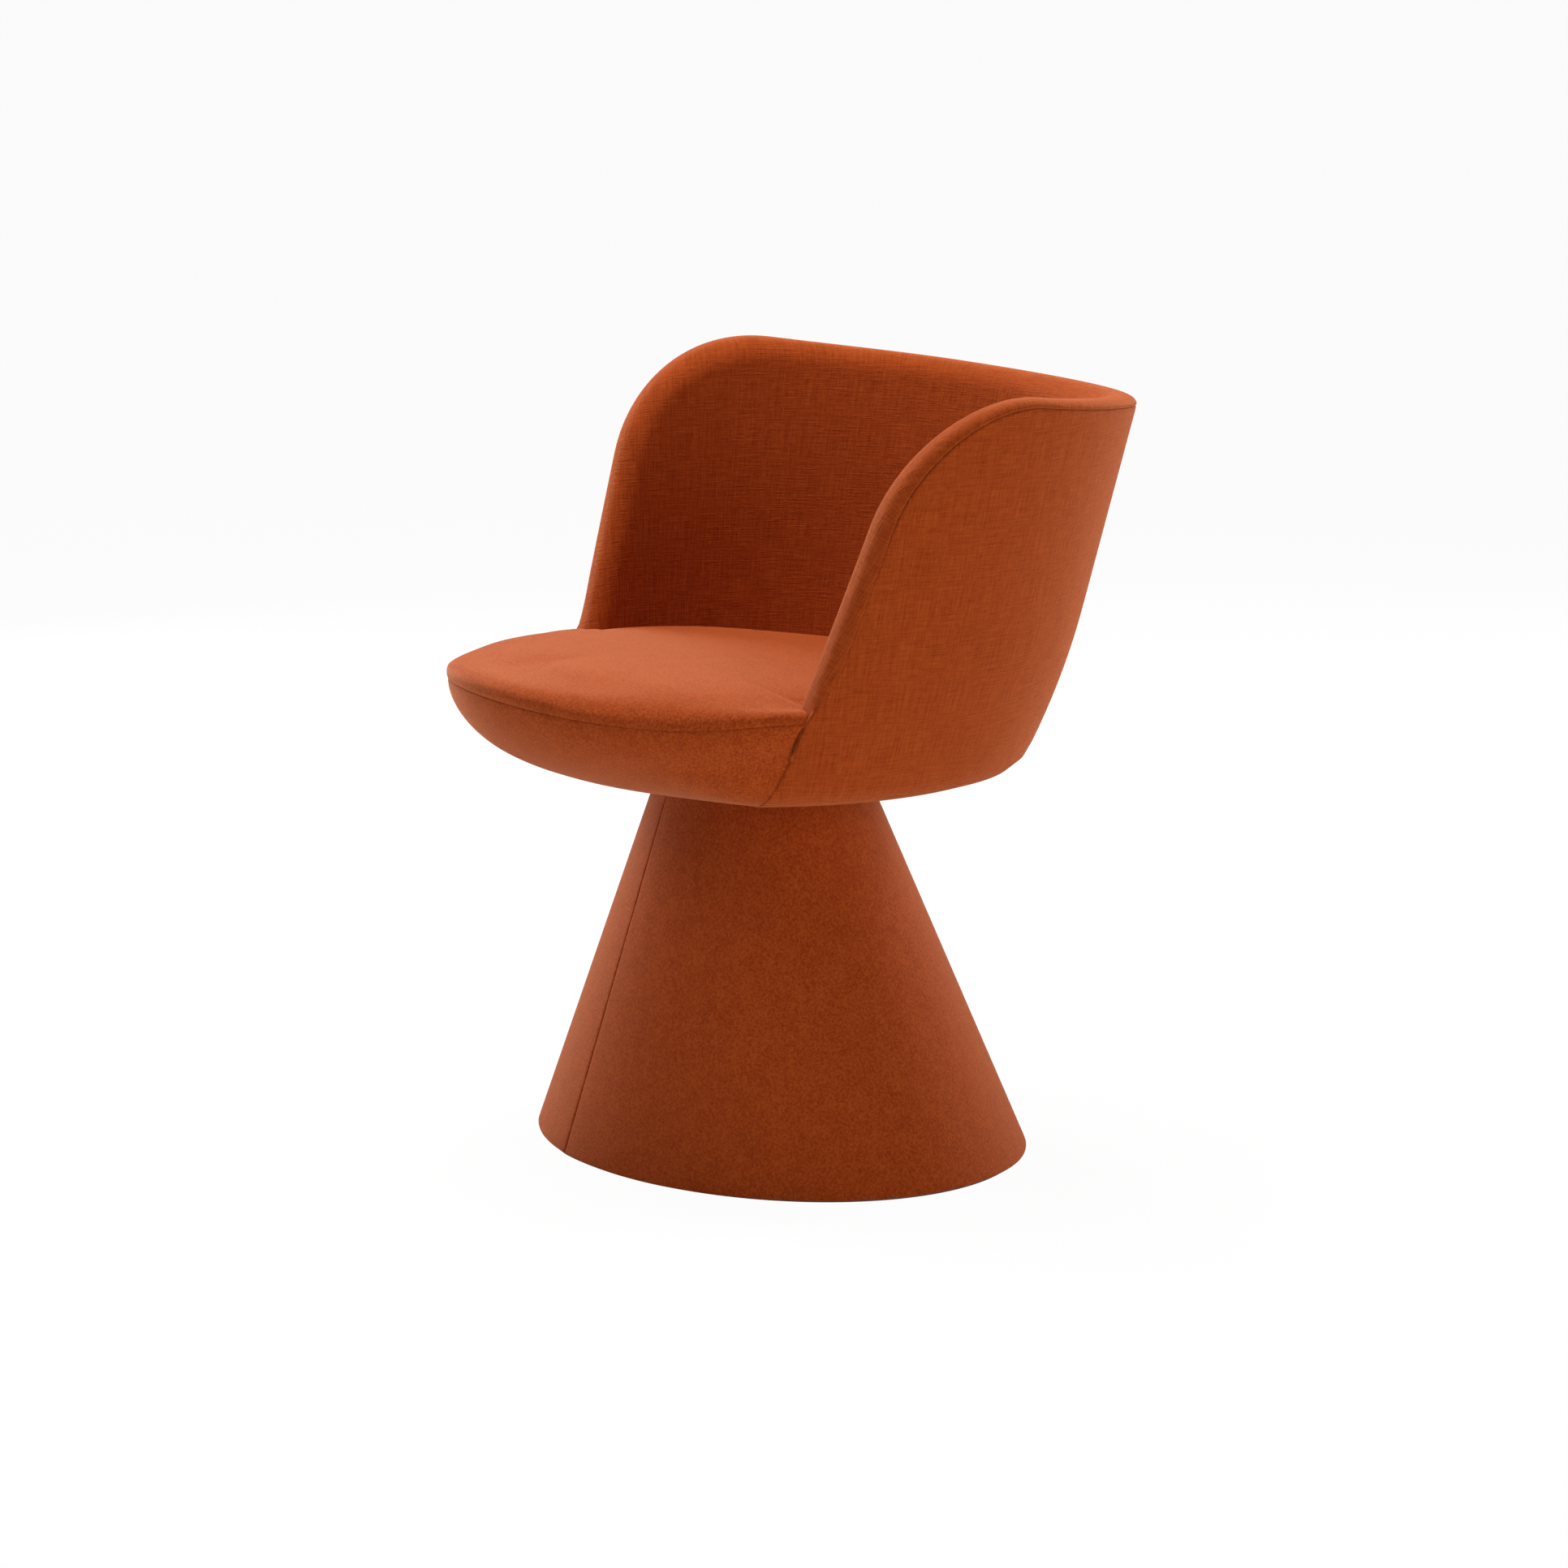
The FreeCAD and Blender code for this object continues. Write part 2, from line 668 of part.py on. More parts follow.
def mount_opening():
    """The round opening that the mount block passes through."""
    return upright_cylinder(mm("mount_block_radius") + mm("layer_gap"), UNDER - COVER, pan_bottom.number)


def make_back():
    """The back: a rigid shell, the foam moulded round it, and an inner and an outer cover."""
    finished, padded = back_wall(0), back_wall(COVER)
    padded_low = low_ring(COVER, SHELL_INNER, COVER)
    skin = finished.cut(padded)
    outer_zone = arm_block(mm("cover_seam_drop")).cut(back_solid(SHELL_OUTER))
    outer_low = low_ring(0, SHELL_INNER, 0).cut(padded_low)
    outer_cover = skin.common(outer_zone).fuse(outer_low).removeSplitter()
    shell = back_solid(SHELL_OUTER).cut(back_solid(SHELL_INNER)).common(arm_block(COVER + mm("edge_foam")))
    foam = padded.fuse(padded_low).removeSplitter().cut(shell)
    opening = mount_opening()
    add_free_form("back_shell", reclined(shell).cut(opening))
    add_free_form("back_foam", reclined(foam).cut(opening))
    add_free_form("back_inner_cover", reclined(skin.cut(outer_zone)))
    add_free_form("back_outer_cover", reclined(outer_cover).cut(opening))


DISH_RADIUS = mm("seat_radius") - mm("dish_step")


def dish(inset):
    """The seat's rounded underside filled in, up to the seam."""
    flat = mm("dish_flat_radius")
    half_width = DISH_RADIUS - flat - inset
    depth = SEAM - UNDER - inset
    arc = ellipse_arc(tub_point(flat, SEAM), Vector(0, -half_width, 0), Vector(0, 0, -depth), 0, math.pi / 2)
    return spin([arc] + chain(tub_point(flat, SEAM - depth), tub_point(0, SEAM - depth), tub_point(0, SEAM),
                              tub_point(flat + half_width, SEAM)))


def pad(inset):
    """The seat pad above the seam: a rounded edge and a dome that falls towards the back."""
    edge_height = mm("pad_edge_height") - inset
    edge_depth = mm("pad_edge_depth") - inset
    edge = DISH_RADIUS - inset - edge_depth
    shoulder = SEAM + edge_height
    arc = ellipse_arc(tub_point(edge, SEAM), Vector(0, -edge_depth, 0), Vector(0, 0, edge_height),
                      0, math.pi / 2)
    disc = spin([arc] + chain(tub_point(edge, shoulder), tub_point(0, shoulder), tub_point(0, SEAM),
                              tub_point(edge + edge_depth, SEAM)))
    dome_radius = mm("pad_dome_radius")
    dome_centre = tub_point(mm("pad_peak_forward"), SEAM + mm("pad_peak_height") - dome_radius)
    dome = Part.makeSphere(dome_radius - inset, dome_centre, Vector(1, 0, 0))
    rear_layer = slab(SEAM, SEAM + mm("pad_rear_height") - inset)
    return disc.common(dome).fuse(disc.common(rear_layer)).removeSplitter()


def wall_zone(clearance):
    """The room that the back takes above the seam, with a clearance to the seat pad."""
    return reclined(arm_block(-clearance).cut(seat_space(mm("wall_thickness") + clearance)))


def make_seat():
    """The seat: a rigid pan in foam, covered below, with a crowned pad on top."""
    opening = mount_opening()
    behind_arms = reclined(arm_block(0))
    back_room = behind_arms.cut(reclined(back_solid(SHELL_INNER + mm("layer_gap"))))
    pan_outer = dish(mm("pan_inset"))
    pan_inner = dish(mm("pan_inset") + mm("pan_thickness"))
    add_free_form("dish_cover", dish(0).cut(dish(COVER)).cut(behind_arms).cut(opening))
    add_free_form("dish_foam", dish(COVER).cut(pan_outer).cut(back_room).cut(opening))

    bolt_places = []
    count = int(mm("bolt_count"))
    for index in range(count):
        angle = 2 * math.pi * index / count
        bolt_places.append((mm("bolt_circle") * math.cos(angle), mm("bolt_circle") * math.sin(angle)))
    hole = tee_barrel.number + mm("thread_clearance")
    holes = [upright_cylinder(hole, pan_bottom.number, pan_top.number, x, y) for x, y in bolt_places]
    add_free_form("seat_pan", pan_outer.cut(pan_inner).cut(Part.makeCompound(holes)))

    clearance = mm("pad_clearance")
    pad_core = pad(COVER).cut(wall_zone(clearance + COVER))
    add_free_form("seat_cover", pad(0).cut(wall_zone(clearance)).cut(pad_core))
    pocket_top = pan_top.number + mm("nut_pocket_height")
    pockets = [upright_cylinder(mm("nut_pocket_radius"), pan_top.number, pocket_top, x, y)
               for x, y in bolt_places]
    foam = pad_core.fuse(pan_inner).removeSplitter().cut(Part.makeCompound(pockets))
    add_free_form("seat_foam", foam)


def check_model():
    """Stop on any object that failed and any sub-part without a sound closed shape."""
    doc.recompute()
    for item in doc.Objects:
        if {"Invalid", "Error"} & set(item.State):
            raise RuntimeError(f"{item.Label} failed: {item.State}")
    for node in SUBPARTS:
        if node.Shape.isNull() or not node.Shape.isValid() or not node.Shape.Solids:
            raise RuntimeError(f"{node.Label} has no sound shape")


def write_parts():
    os.makedirs("parts", exist_ok=True)
    for node in SUBPARTS:
        node.Shape.exportStep(f"parts/{node.Label}.step")


make_swivel_on_base()
make_column_gussets()
make_pedestal()
make_floor_glides()
make_swivel_on_seat()
make_back()
make_seat()
check_model()
write_parts()
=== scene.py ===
import json
import math

import bmesh
import bpy
import numpy as np
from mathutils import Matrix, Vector


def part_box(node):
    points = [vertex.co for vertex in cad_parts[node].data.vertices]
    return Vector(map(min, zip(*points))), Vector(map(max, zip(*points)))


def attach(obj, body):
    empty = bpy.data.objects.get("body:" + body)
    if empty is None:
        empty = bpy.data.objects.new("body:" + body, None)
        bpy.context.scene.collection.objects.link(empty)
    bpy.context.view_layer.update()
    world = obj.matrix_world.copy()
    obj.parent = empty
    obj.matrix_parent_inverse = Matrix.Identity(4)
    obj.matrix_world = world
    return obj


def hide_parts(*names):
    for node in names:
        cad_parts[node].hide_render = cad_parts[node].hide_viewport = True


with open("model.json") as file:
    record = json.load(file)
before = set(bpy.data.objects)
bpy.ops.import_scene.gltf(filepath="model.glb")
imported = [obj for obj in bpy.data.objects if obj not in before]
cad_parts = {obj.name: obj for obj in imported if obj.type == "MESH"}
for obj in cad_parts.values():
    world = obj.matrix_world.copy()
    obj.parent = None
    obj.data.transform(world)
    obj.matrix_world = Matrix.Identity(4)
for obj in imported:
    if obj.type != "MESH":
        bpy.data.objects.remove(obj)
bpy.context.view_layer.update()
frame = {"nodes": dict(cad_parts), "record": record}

nodes = frame["nodes"]

# Levels that the solids give, in metres
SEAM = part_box("seat_cover")[0][2]
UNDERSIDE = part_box("back_outer_cover")[0][2]
RIM_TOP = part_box("back_inner_cover")[1][2]
BASE_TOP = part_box("left_base_cover")[1][2]

# The back's form, in metres, as in the part's source
TUB_AXIS = -0.016
SEAT_RADIUS = 0.295
RIM_RADIUS = 0.343
RIM_LEVEL = 0.740
FLARE = (RIM_RADIUS - SEAT_RADIUS) / (RIM_LEVEL - SEAM)
RECLINE = math.tan(math.radians(5.8))
RIM_FALL = math.radians(7.4)
BLEND_LEVEL = 0.520
SIDE_RADIUS = 0.640
CORNER_RADIUS = 0.032
BELLY_RADIUS = 1.600
FLAT_RADIUS = 0.090
FLAT_INNER_RADIUS = 0.050
WALL = 0.042
PROFILE_OVERRUN = 0.060

# The arms' front line: it leans back from the seat and turns into the rim with a round
ARM_SETBACK = 0.087
ARM_LEAN_ALL = math.radians(17.3)
ARM_LEAN = math.atan(math.tan(ARM_LEAN_ALL) - RECLINE)
ARM_ROUND = 0.140
ARM_CENTRE_LEVEL = RIM_TOP - ARM_ROUND
ARM_TOUCH_LEVEL = ARM_CENTRE_LEVEL + ARM_ROUND * math.sin(ARM_LEAN)

# The back's covers: cloth, rounded edges, the rim's crown, and the seam below the rim
COVER = 0.0025
THREAD_RADIUS = 0.300
ROUND_OUTSIDE = 0.014
ROUND_INSIDE = 0.022
ROUNDNESS = 0.56
RIM_CROWN = 0.002
RIM_CROWN_SHARE = 0.5
SEAM_DROP = 0.0115
SEAM_RISE = 0.30
SEAM_RISE_START = 0.25
SEAM_LEAVES_EDGE = (SEAM - 0.004, SEAM + 0.050)
SEAM_DEPTH = 0.0020
SEAM_FAINT_SHARE = 0.2
SEAM_FADE_LEVELS = (SEAM + 0.120, RIM_TOP - 0.030)

# How a sewn edge rolls in: distance from the seam, and depth as a share of the seam's depth
ROLL = ((0.0, 1.0), (0.0006, 0.50), (0.0014, 0.16), (0.0027, 0.03), (0.0050, 0.0))
ROLL_SHARE = 0.8
ROLL_LEAST = 0.001

# The back's low front edge: turned in below the seat, and faint where it meets the dish
TURN_IN = 0.026
TURN_IN_LEVELS = (SEAM - 0.046, SEAM - 0.026)
LOW_EDGE_SHARE = 0.015
LOW_EDGE_LEVELS = (UNDERSIDE + 0.028, UNDERSIDE + 0.058)
OUTER_COVER_RADIUS = FLAT_RADIUS + 0.001
INNER_COVER_LEVEL = SEAM - 0.034

# The seat seam: it sags between the front and the arms
SEAM_SAG = 0.0052
SAG_TURN = math.radians(52)
SAG_SWEEP = 0.7
ARM_TURN = math.radians(76)
ARM_SEAM_RISE = 0.0072

# The dish: sweeps are angles from the seat seam to the flat
DISH_RADIUS = 0.291
DISH_FLAT = 0.092
DISH_FULLNESS = 0.005
DISH_SEAM_DEPTH = 1.2 * SEAM_DEPTH
DISH_SWEEPS = (0.09, math.pi / 2 - 0.01)
DISH_ROWS, DISH_COLUMNS = 40, 96

# How the dish tucks in at the arms: distance behind their fronts, and share of the tuck's depth
TUCK = ((0.016, 1.5), (0.006, 1.3), (0.0, 1.0), (-0.004, 0.6), (-0.010, 0.2))
TUCK_FREE = -0.018
TUCK_DEPTH = 0.0032
TUCK_BEGINS, TUCK_ENDS = (0.01, 0.12), (0.30, 0.52)
BELLY_GAP = 0.0008
BELLY_REACH = 0.120
BELLY_SWEEPS = (0.26, 0.52)

# The pad's form: its outline, its rounded edge and its crown
PAD_SPOKES, PAD_RINGS = 216, 46
PAD_CROWDING = 1.6
PAD_MIDDLE = -0.140
PAD_PRESS = 0.010
PAD_ARM_FRONT = -ARM_SETBACK + PAD_PRESS
PAD_ARM_BLEND = 0.030
PAD_EDGE_HEIGHT = 0.032
PAD_EDGE_DEPTH = 0.060
PAD_EDGE_FULLNESS = 2.4
PAD_SIDE_DROP = 0.010
PAD_SIDE_TURNS = (math.radians(12), math.radians(42))
PAD_BLEND = 0.0048
PAD_BULGE = 0.0025
PAD_BULGE_SHARES = (0.70, 0.95)
PAD_PEAK = 0.026
PAD_PEAK_FORWARD = 0.186
PAD_DOME = 3.0
PAD_REAR = 0.001
PAD_DIP = 0.0025
PAD_DIP_WIDTH = 0.016
PAD_SAG_FADE = 3

# The pad's sewn edge: distance in from the seam and drop below it, and what the seam holds down
PAD_UNDER = 0.0045
PAD_SEWN = ((0.0012, 0.0010), (0.004, 0.0026), (0.010, PAD_UNDER))
HELD_WIDTH = 0.0005
HELD_HEIGHT = 0.0012
HELD_SAG_WIDTH = 0.012
PAD_PRESSURE = 2.0
PAD_SWELL = 0.004
SWELL_FRAMES = 20
SWELL_SMOOTHINGS = 60

# The pedestal's form
BASE_HALF_WIDTH = 0.285
BASE_HALF_DEPTH = 0.226
BASE_CREASE = 0.015
BASE_TOP_HALF_WIDTH = 0.120
BASE_TOP_SCALE = BASE_TOP_HALF_WIDTH / BASE_HALF_WIDTH
BASE_SET_BACK = 0.012
BASE_TOP_SET_BACK = -0.006
BASE_FULLNESS = 0.0035
BASE_FULL_SHARE = 0.36
BASE_SEAM_DEPTH = 0.0022
BASE_SEAM_MARGIN = 0.012
BASE_ROWS, BASE_COLUMNS = 60, 70

# The pedestal's hem and top roll in: distance from the cloth's end, and depth
HEM = 0.0012
HEM_ROLL = ((0.0, 0.004), (0.0, 0.0022), (0.0006, 0.0008), (0.0018, 0.0001))
TOP_ROLL = ((0.0030, 0.0002), (0.0012, 0.0012), (0.0, 0.0035), (0.0, 0.007))
BASE_LEVELS = (HEM + 0.005, BASE_TOP - 0.006)

# Fineness of the back's meshes, with the count, first and last share of loops over its rounded edge
WALL_POINTS, ARC_POINTS, FLAT_POINTS, INSIDE_POINTS = 12, 40, 6, 30
LEAN_STEPS, ARC_STEPS, REAR_STEPS = 30, 36, 44
CORNER_STEP = LEAN_STEPS + ARC_STEPS // 2
EDGE_SHARES, FRONT_SHARES, INNER_SHARES = (6, 0.45, 1), (2, 0.5, 1), (8, 0.125, 1)
WELD = 0.00008


# Mesh helpers

def lattice(rows):
    """Vertices and quads of a grid of points given as rows by columns."""
    rows = np.asarray(rows)
    height, width = rows.shape[:2]
    index = np.arange(height * width).reshape(height, width)
    corners = [index[:-1, :-1], index[:-1, 1:], index[1:, 1:], index[1:, :-1]]
    return rows.reshape(-1, 3), np.stack(corners, -1).reshape(-1, 4)


def new_piece(name, *grids, places=None, thickness=COVER):
    """One object from grids that share edges, with the cloth's thickness behind the shown face.

    places gives each grid's points along the cloth's two thread directions.
    """
    points, faces, start = [], [], 0
    for grid in grids:
        grid_points, grid_faces = lattice(grid)
        points.append(grid_points)
        faces.append(grid_faces + start)
        start += len(grid_points)
    mesh = bpy.data.meshes.new(name)
    mesh.from_pydata(np.concatenate(points).tolist(), [], np.concatenate(faces).tolist())
    if places:
        flat = np.concatenate([place.reshape(-1, 2) for place in places])
        cloth = mesh.attributes.new("cloth", "FLOAT_VECTOR", "POINT")
        cloth.data.foreach_set("vector", np.column_stack([flat, np.zeros(len(flat))]).ravel())
    work = bmesh.new()
    work.from_mesh(mesh)
    bmesh.ops.remove_doubles(work, verts=work.verts, dist=WELD)
    bmesh.ops.recalc_face_normals(work, faces=work.faces)
    work.to_mesh(mesh)
    work.free()
    mesh.shade_smooth()
    piece = bpy.data.objects.new(name, mesh)
    bpy.context.scene.collection.objects.link(piece)
    if thickness:
        solid = piece.modifiers.new("cloth_thickness", "SOLIDIFY")
        solid.thickness = thickness
        solid.offset = -1
        solid.use_even_offset = False
    return piece


def smooth_step(value, low, high):
    """0 up to low, 1 from high on, and a soft rise between them."""
    share = np.clip((np.asarray(value) - low) / (high - low), 0, 1)
    return share * share * (3 - 2 * share)


def even(count, first=0.0, last=1.0):
    return np.linspace(first, last, count)


# The back's walls

def arc_points(centre, radius, first, last):
    """Points of a profile arc between two directions, as (radius from the axis, level)."""
    start, end = math.atan2(first[1], first[0]), math.atan2(last[1], last[0])
    angles = even(ARC_POINTS, start, end)
    return np.stack([centre[0] + radius * np.cos(angles), centre[1] + radius * np.sin(angles)], 1)


def wall_radius(level, inset=0.0):
    """The flared wall's radius at a level, measured in from its outside face."""
    return SEAT_RADIUS + FLARE * (level - SEAM) - inset * math.hypot(1, FLARE)


class Wall:
    """A surface turned about the tub's axis and leaned back, with its profile measured by length."""

    def __init__(self, profile):
        self.radii, self.levels = np.asarray(profile).T
        steps = np.hypot(np.diff(self.radii), np.diff(self.levels))
        self.lengths = np.concatenate([[0], np.cumsum(steps)])

    def radius(self, length):
        return np.interp(length, self.lengths, self.radii)

    def level(self, length):
        return np.interp(length, self.lengths, self.levels)

    def length_at_level(self, level):
        return np.interp(-np.asarray(level), -self.levels, self.lengths)

    def length_at_radius(self, radius):
        return np.interp(-np.asarray(radius), -self.radii, self.lengths)

    def points(self, turn, length, depth=0.0):
        """Points at a turn from the front and a profile length, sunk by a depth."""
        step = 0.0005
        radius, level = self.radius(length), self.level(length)
        along = self.radius(length + step) - self.radius(length - step)
        down = self.level(length + step) - self.level(length - step)
        size = np.hypot(along, down)
        radius = radius + depth * down / size
        level = level - depth * along / size
        lean = RECLINE * (level - SEAM)
        return np.stack([radius * np.sin(turn), TUB_AXIS - radius * np.cos(turn) + lean, level], -1)


def outside_profile():
    """The back's outside from above the rim to the flat of the underside: a wall and three arcs."""
    inward = np.array([-1, FLARE]) / math.hypot(1, FLARE)
    side_centre = np.array([wall_radius(BLEND_LEVEL), BLEND_LEVEL]) + inward * SIDE_RADIUS
    belly_centre = np.array([FLAT_RADIUS, UNDERSIDE + BELLY_RADIUS])
    reach_side, reach_belly = SIDE_RADIUS - CORNER_RADIUS, BELLY_RADIUS - CORNER_RADIUS
    between = belly_centre - side_centre
    gap = np.hypot(*between)
    along = (reach_side ** 2 - reach_belly ** 2 + gap ** 2) / (2 * gap)
    aside = math.sqrt(reach_side ** 2 - along ** 2)
    forward = between / gap
    corner_centre = side_centre + forward * along + np.array([forward[1], -forward[0]]) * aside
    from_side, from_belly, down = corner_centre - side_centre, corner_centre - belly_centre, (0, -1)
    levels = even(WALL_POINTS, RIM_TOP + PROFILE_OVERRUN, BLEND_LEVEL)
    wall = np.stack([wall_radius(levels), levels], 1)
    flat_radii = even(FLAT_POINTS, FLAT_RADIUS, FLAT_INNER_RADIUS)
    flat = np.stack([flat_radii, np.full(FLAT_POINTS, UNDERSIDE)], 1)
    return np.concatenate([wall[:-1],
                           arc_points(side_centre, SIDE_RADIUS, -inward, from_side)[:-1],
                           arc_points(corner_centre, CORNER_RADIUS, from_side, from_belly)[:-1],
                           arc_points(belly_centre, BELLY_RADIUS, from_belly, down)[:-1], flat])


def inside_profile():
    """The back's inside from above the rim to below the seat seam."""
    levels = even(INSIDE_POINTS, RIM_TOP + PROFILE_OVERRUN, SEAM - PROFILE_OVERRUN)
    return np.stack([wall_radius(levels, WALL), levels], 1)


def arm_line(level):
    """Where the arms' leaning front line stands at a level, before the recline."""
    return -ARM_SETBACK + math.tan(ARM_LEAN) * (level - SEAM)


outside, inside = Wall(outside_profile()), Wall(inside_profile())
ARM_CENTRE = arm_line(ARM_TOUCH_LEVEL) + ARM_ROUND * math.cos(ARM_LEAN)


def turn_at(wall, position, length):
    """The turn from the front at which a wall stands at a front-to-back position."""
    return np.arccos(np.clip((TUB_AXIS - position) / wall.radius(length), -1, 1))


def half_edge(wall, low_length, inset):
    """The +X half of the arms' front line and the rim on one wall, from below to the rear's middle.

    inset(level, along) is how far behind the finished edge the line runs: along goes from 0 on the
    leaning front to 1 at the rim.
    """
    start_level = ARM_CENTRE_LEVEL + (ARM_ROUND - float(inset(RIM_TOP, 0.0))) * math.sin(ARM_LEAN)
    lean_lengths = even(LEAN_STEPS, low_length, float(wall.length_at_level(start_level)))
    levels = wall.level(lean_lengths)
    lean_turns = turn_at(wall, arm_line(levels) + inset(levels, 0.0) / math.cos(ARM_LEAN), lean_lengths)

    angles = even(ARC_STEPS + 1, ARM_LEAN - math.pi / 2, RIM_FALL)[1:]
    reach = ARM_ROUND - inset(RIM_TOP, even(ARC_STEPS + 1)[1:])
    arc_lengths = wall.length_at_level(ARM_CENTRE_LEVEL + reach * np.cos(angles))
    arc_turns = turn_at(wall, ARM_CENTRE + reach * np.sin(angles), arc_lengths)

    rear_turns = even(REAR_STEPS + 1, float(arc_turns[-1]), math.pi)[1:]
    end_level = ARM_CENTRE_LEVEL + reach[-1] * math.cos(RIM_FALL)
    end_position = ARM_CENTRE + reach[-1] * math.sin(RIM_FALL)
    slope = math.tan(RIM_FALL)
    offset = wall.radius(0) - FLARE * wall.level(0)
    cosines = np.cos(rear_turns)
    rear_levels = end_level + slope * (end_position - TUB_AXIS + offset * cosines)
    rear_levels /= 1 - slope * FLARE * cosines
    share = (rear_turns - rear_turns[0]) / (math.pi - rear_turns[0])
    rear_lengths = wall.length_at_level(rear_levels + RIM_CROWN * smooth_step(share, 0.0, RIM_CROWN_SHARE))
    return (np.concatenate([lean_turns, arc_turns, rear_turns]),
            np.concatenate([lean_lengths, arc_lengths, rear_lengths]))


def arm_edge(wall, low_length, inset):
    """Turns and lengths of a wall's whole edge line: up the +X arm, round the rim, down the -X arm."""
    turns, lengths = half_edge(wall, low_length, inset)
    return (np.concatenate([turns, 2 * math.pi - turns[-2::-1]]),
            np.concatenate([lengths, lengths[-2::-1]]))


def seam_inset(level, along):
    """The covers' seam runs below the rim and behind the arms' fronts, and meets the edge at the seat."""
    rising = 1 - SEAM_RISE * smooth_step(along, SEAM_RISE_START, 1.0)
    return SEAM_DROP * rising * smooth_step(level, *SEAM_LEAVES_EDGE)


def behind_edge(distance):
    """The inset of a line that runs at an even distance behind the finished edge."""
    return lambda level, along: np.full(np.broadcast(level, along).shape, distance)


def behind_seam(distance):
    """The inset of a line that runs at an even distance behind the covers' seam."""
    return lambda level, along: seam_inset(level, along) + distance


def seam_depth(level):
    """The seam is drawn in firmly along the rim and fades down the arms."""
    return SEAM_DEPTH * (SEAM_FAINT_SHARE + (1 - SEAM_FAINT_SHARE) * smooth_step(level, *SEAM_FADE_LEVELS))


def thread_places(turns, lengths):
    """Where points of a wall lie along the cloth's two thread directions."""
    return np.stack([turns * THREAD_RADIUS, lengths], -1)


def wall_patch(wall, turns, lengths):
    """A wall's face inside its edge line, filled smoothly down to the line between the edge's ends."""
    edge = np.stack([turns, lengths], 1)
    rim = edge[CORNER_STEP:len(turns) - CORNER_STEP]
    first, last = edge[CORNER_STEP::-1], edge[len(turns) - 1 - CORNER_STEP:]
    shares = np.concatenate([[0], np.cumsum(np.hypot(*np.diff(rim, axis=0).T))])
    shares = shares / shares[-1]
    foot_turns = turns[0] + shares * (turns[-1] - turns[0])
    foot = np.stack([foot_turns, np.full(len(rim), lengths[0])], 1)
    across = shares[None, :, None]
    down = even(len(first))[:, None, None]
    fill = (rim[None] * (1 - down) + foot[None] * down
            + first[:, None] * (1 - across) + last[:, None] * across
            - (1 - down) * ((1 - across) * rim[0] + across * rim[-1])
            - down * ((1 - across) * foot[0] + across * foot[-1]))
    return wall.points(fill[..., 0], fill[..., 1]), thread_places(fill[..., 0], fill[..., 1])


def make_outer_cover():
    """The back's outside down to the underside, rolled in along its seam and its low front edge."""
    low_length = float(outside.length_at_radius(OUTER_COVER_RADIUS))
    loops, places = [], []
    for distance, share in ROLL:
        turns, lengths = arm_edge(outside, low_length, behind_seam(distance))
        levels = outside.level(lengths)
        below_seat = 1 - smooth_step(levels, *TURN_IN_LEVELS)
        apart = LOW_EDGE_SHARE + (1 - LOW_EDGE_SHARE) * smooth_step(levels, *LOW_EDGE_LEVELS)
        depths = share * apart * (seam_depth(levels) + TURN_IN * below_seat)
        loops.append(outside.points(turns, lengths, depths))
        places.append(thread_places(turns, lengths))
    face, face_places = wall_patch(outside, turns, lengths)
    return new_piece("outer_cover", np.stack(loops), face, places=(np.stack(places), face_places))


def bend(start, corner, end, share):
    """A point of the soft curve that leaves start towards a corner and comes from it to end."""
    hold_start = start + (corner - start) * ROUNDNESS
    hold_end = end + (corner - end) * ROUNDNESS
    rest = 1 - share
    return (rest ** 3 * start + 3 * rest ** 2 * share * hold_start
            + 3 * rest * share ** 2 * hold_end + share ** 3 * end)


def band_threads(band, turns, lengths):
    """Thread places of a band of loops that goes on outwards from a wall's edge line."""
    steps = np.linalg.norm(np.diff(band, axis=0), axis=2)
    from_face = np.concatenate([np.cumsum(steps[::-1], axis=0)[::-1], np.zeros((1, len(turns)))])
    line = thread_places(turns, lengths)
    forward = np.gradient(line, axis=0)
    forward /= np.linalg.norm(forward, axis=1, keepdims=True)
    outward = np.stack([forward[:, 1], -forward[:, 0]], 1)
    return line + outward * from_face[..., None]


def make_inner_cover():
    """The back's inside, over the rounded rim and the arms' fronts to the seam outside."""
    low_out = float(outside.length_at_level(INNER_COVER_LEVEL))
    low_in = float(inside.length_at_level(INNER_COVER_LEVEL))
    seam = outside.points(*arm_edge(outside, low_out, behind_seam(0.0)))
    edge_out = outside.points(*arm_edge(outside, low_out, behind_edge(0.0)))
    edge_in = inside.points(*arm_edge(inside, low_in, behind_edge(0.0)))
    turns, lengths = arm_edge(inside, low_in, behind_edge(ROUND_INSIDE))
    face_in = inside.points(turns, lengths)

    across = edge_in - edge_out
    across /= np.linalg.norm(across, axis=1, keepdims=True)
    face_start = edge_out + across * ROUND_OUTSIDE
    face_end = edge_in - across * ROUND_INSIDE
    rounded = np.linalg.norm(edge_out - seam, axis=1, keepdims=True) + ROUND_OUTSIDE
    roll_length = np.maximum(rounded * ROLL_SHARE, ROLL_LEAST)
    loops = []
    for distance, share in ROLL:
        on_edge = bend(seam, edge_out, face_start, np.minimum(distance / roll_length, 1))
        loops.append(on_edge + across * (seam_depth(seam[:, 2:]) * share))
    loops += [bend(seam, edge_out, face_start, share) for share in even(*EDGE_SHARES)]
    loops += [face_start + (face_end - face_start) * share for share in even(*FRONT_SHARES)]
    loops += [bend(face_end, edge_in, face_in, share) for share in even(*INNER_SHARES)]
    band = np.stack(loops)
    face, face_places = wall_patch(inside, turns, lengths)
    return new_piece("inner_cover", band, face, places=(band_threads(band, turns, lengths), face_places))


# The seat

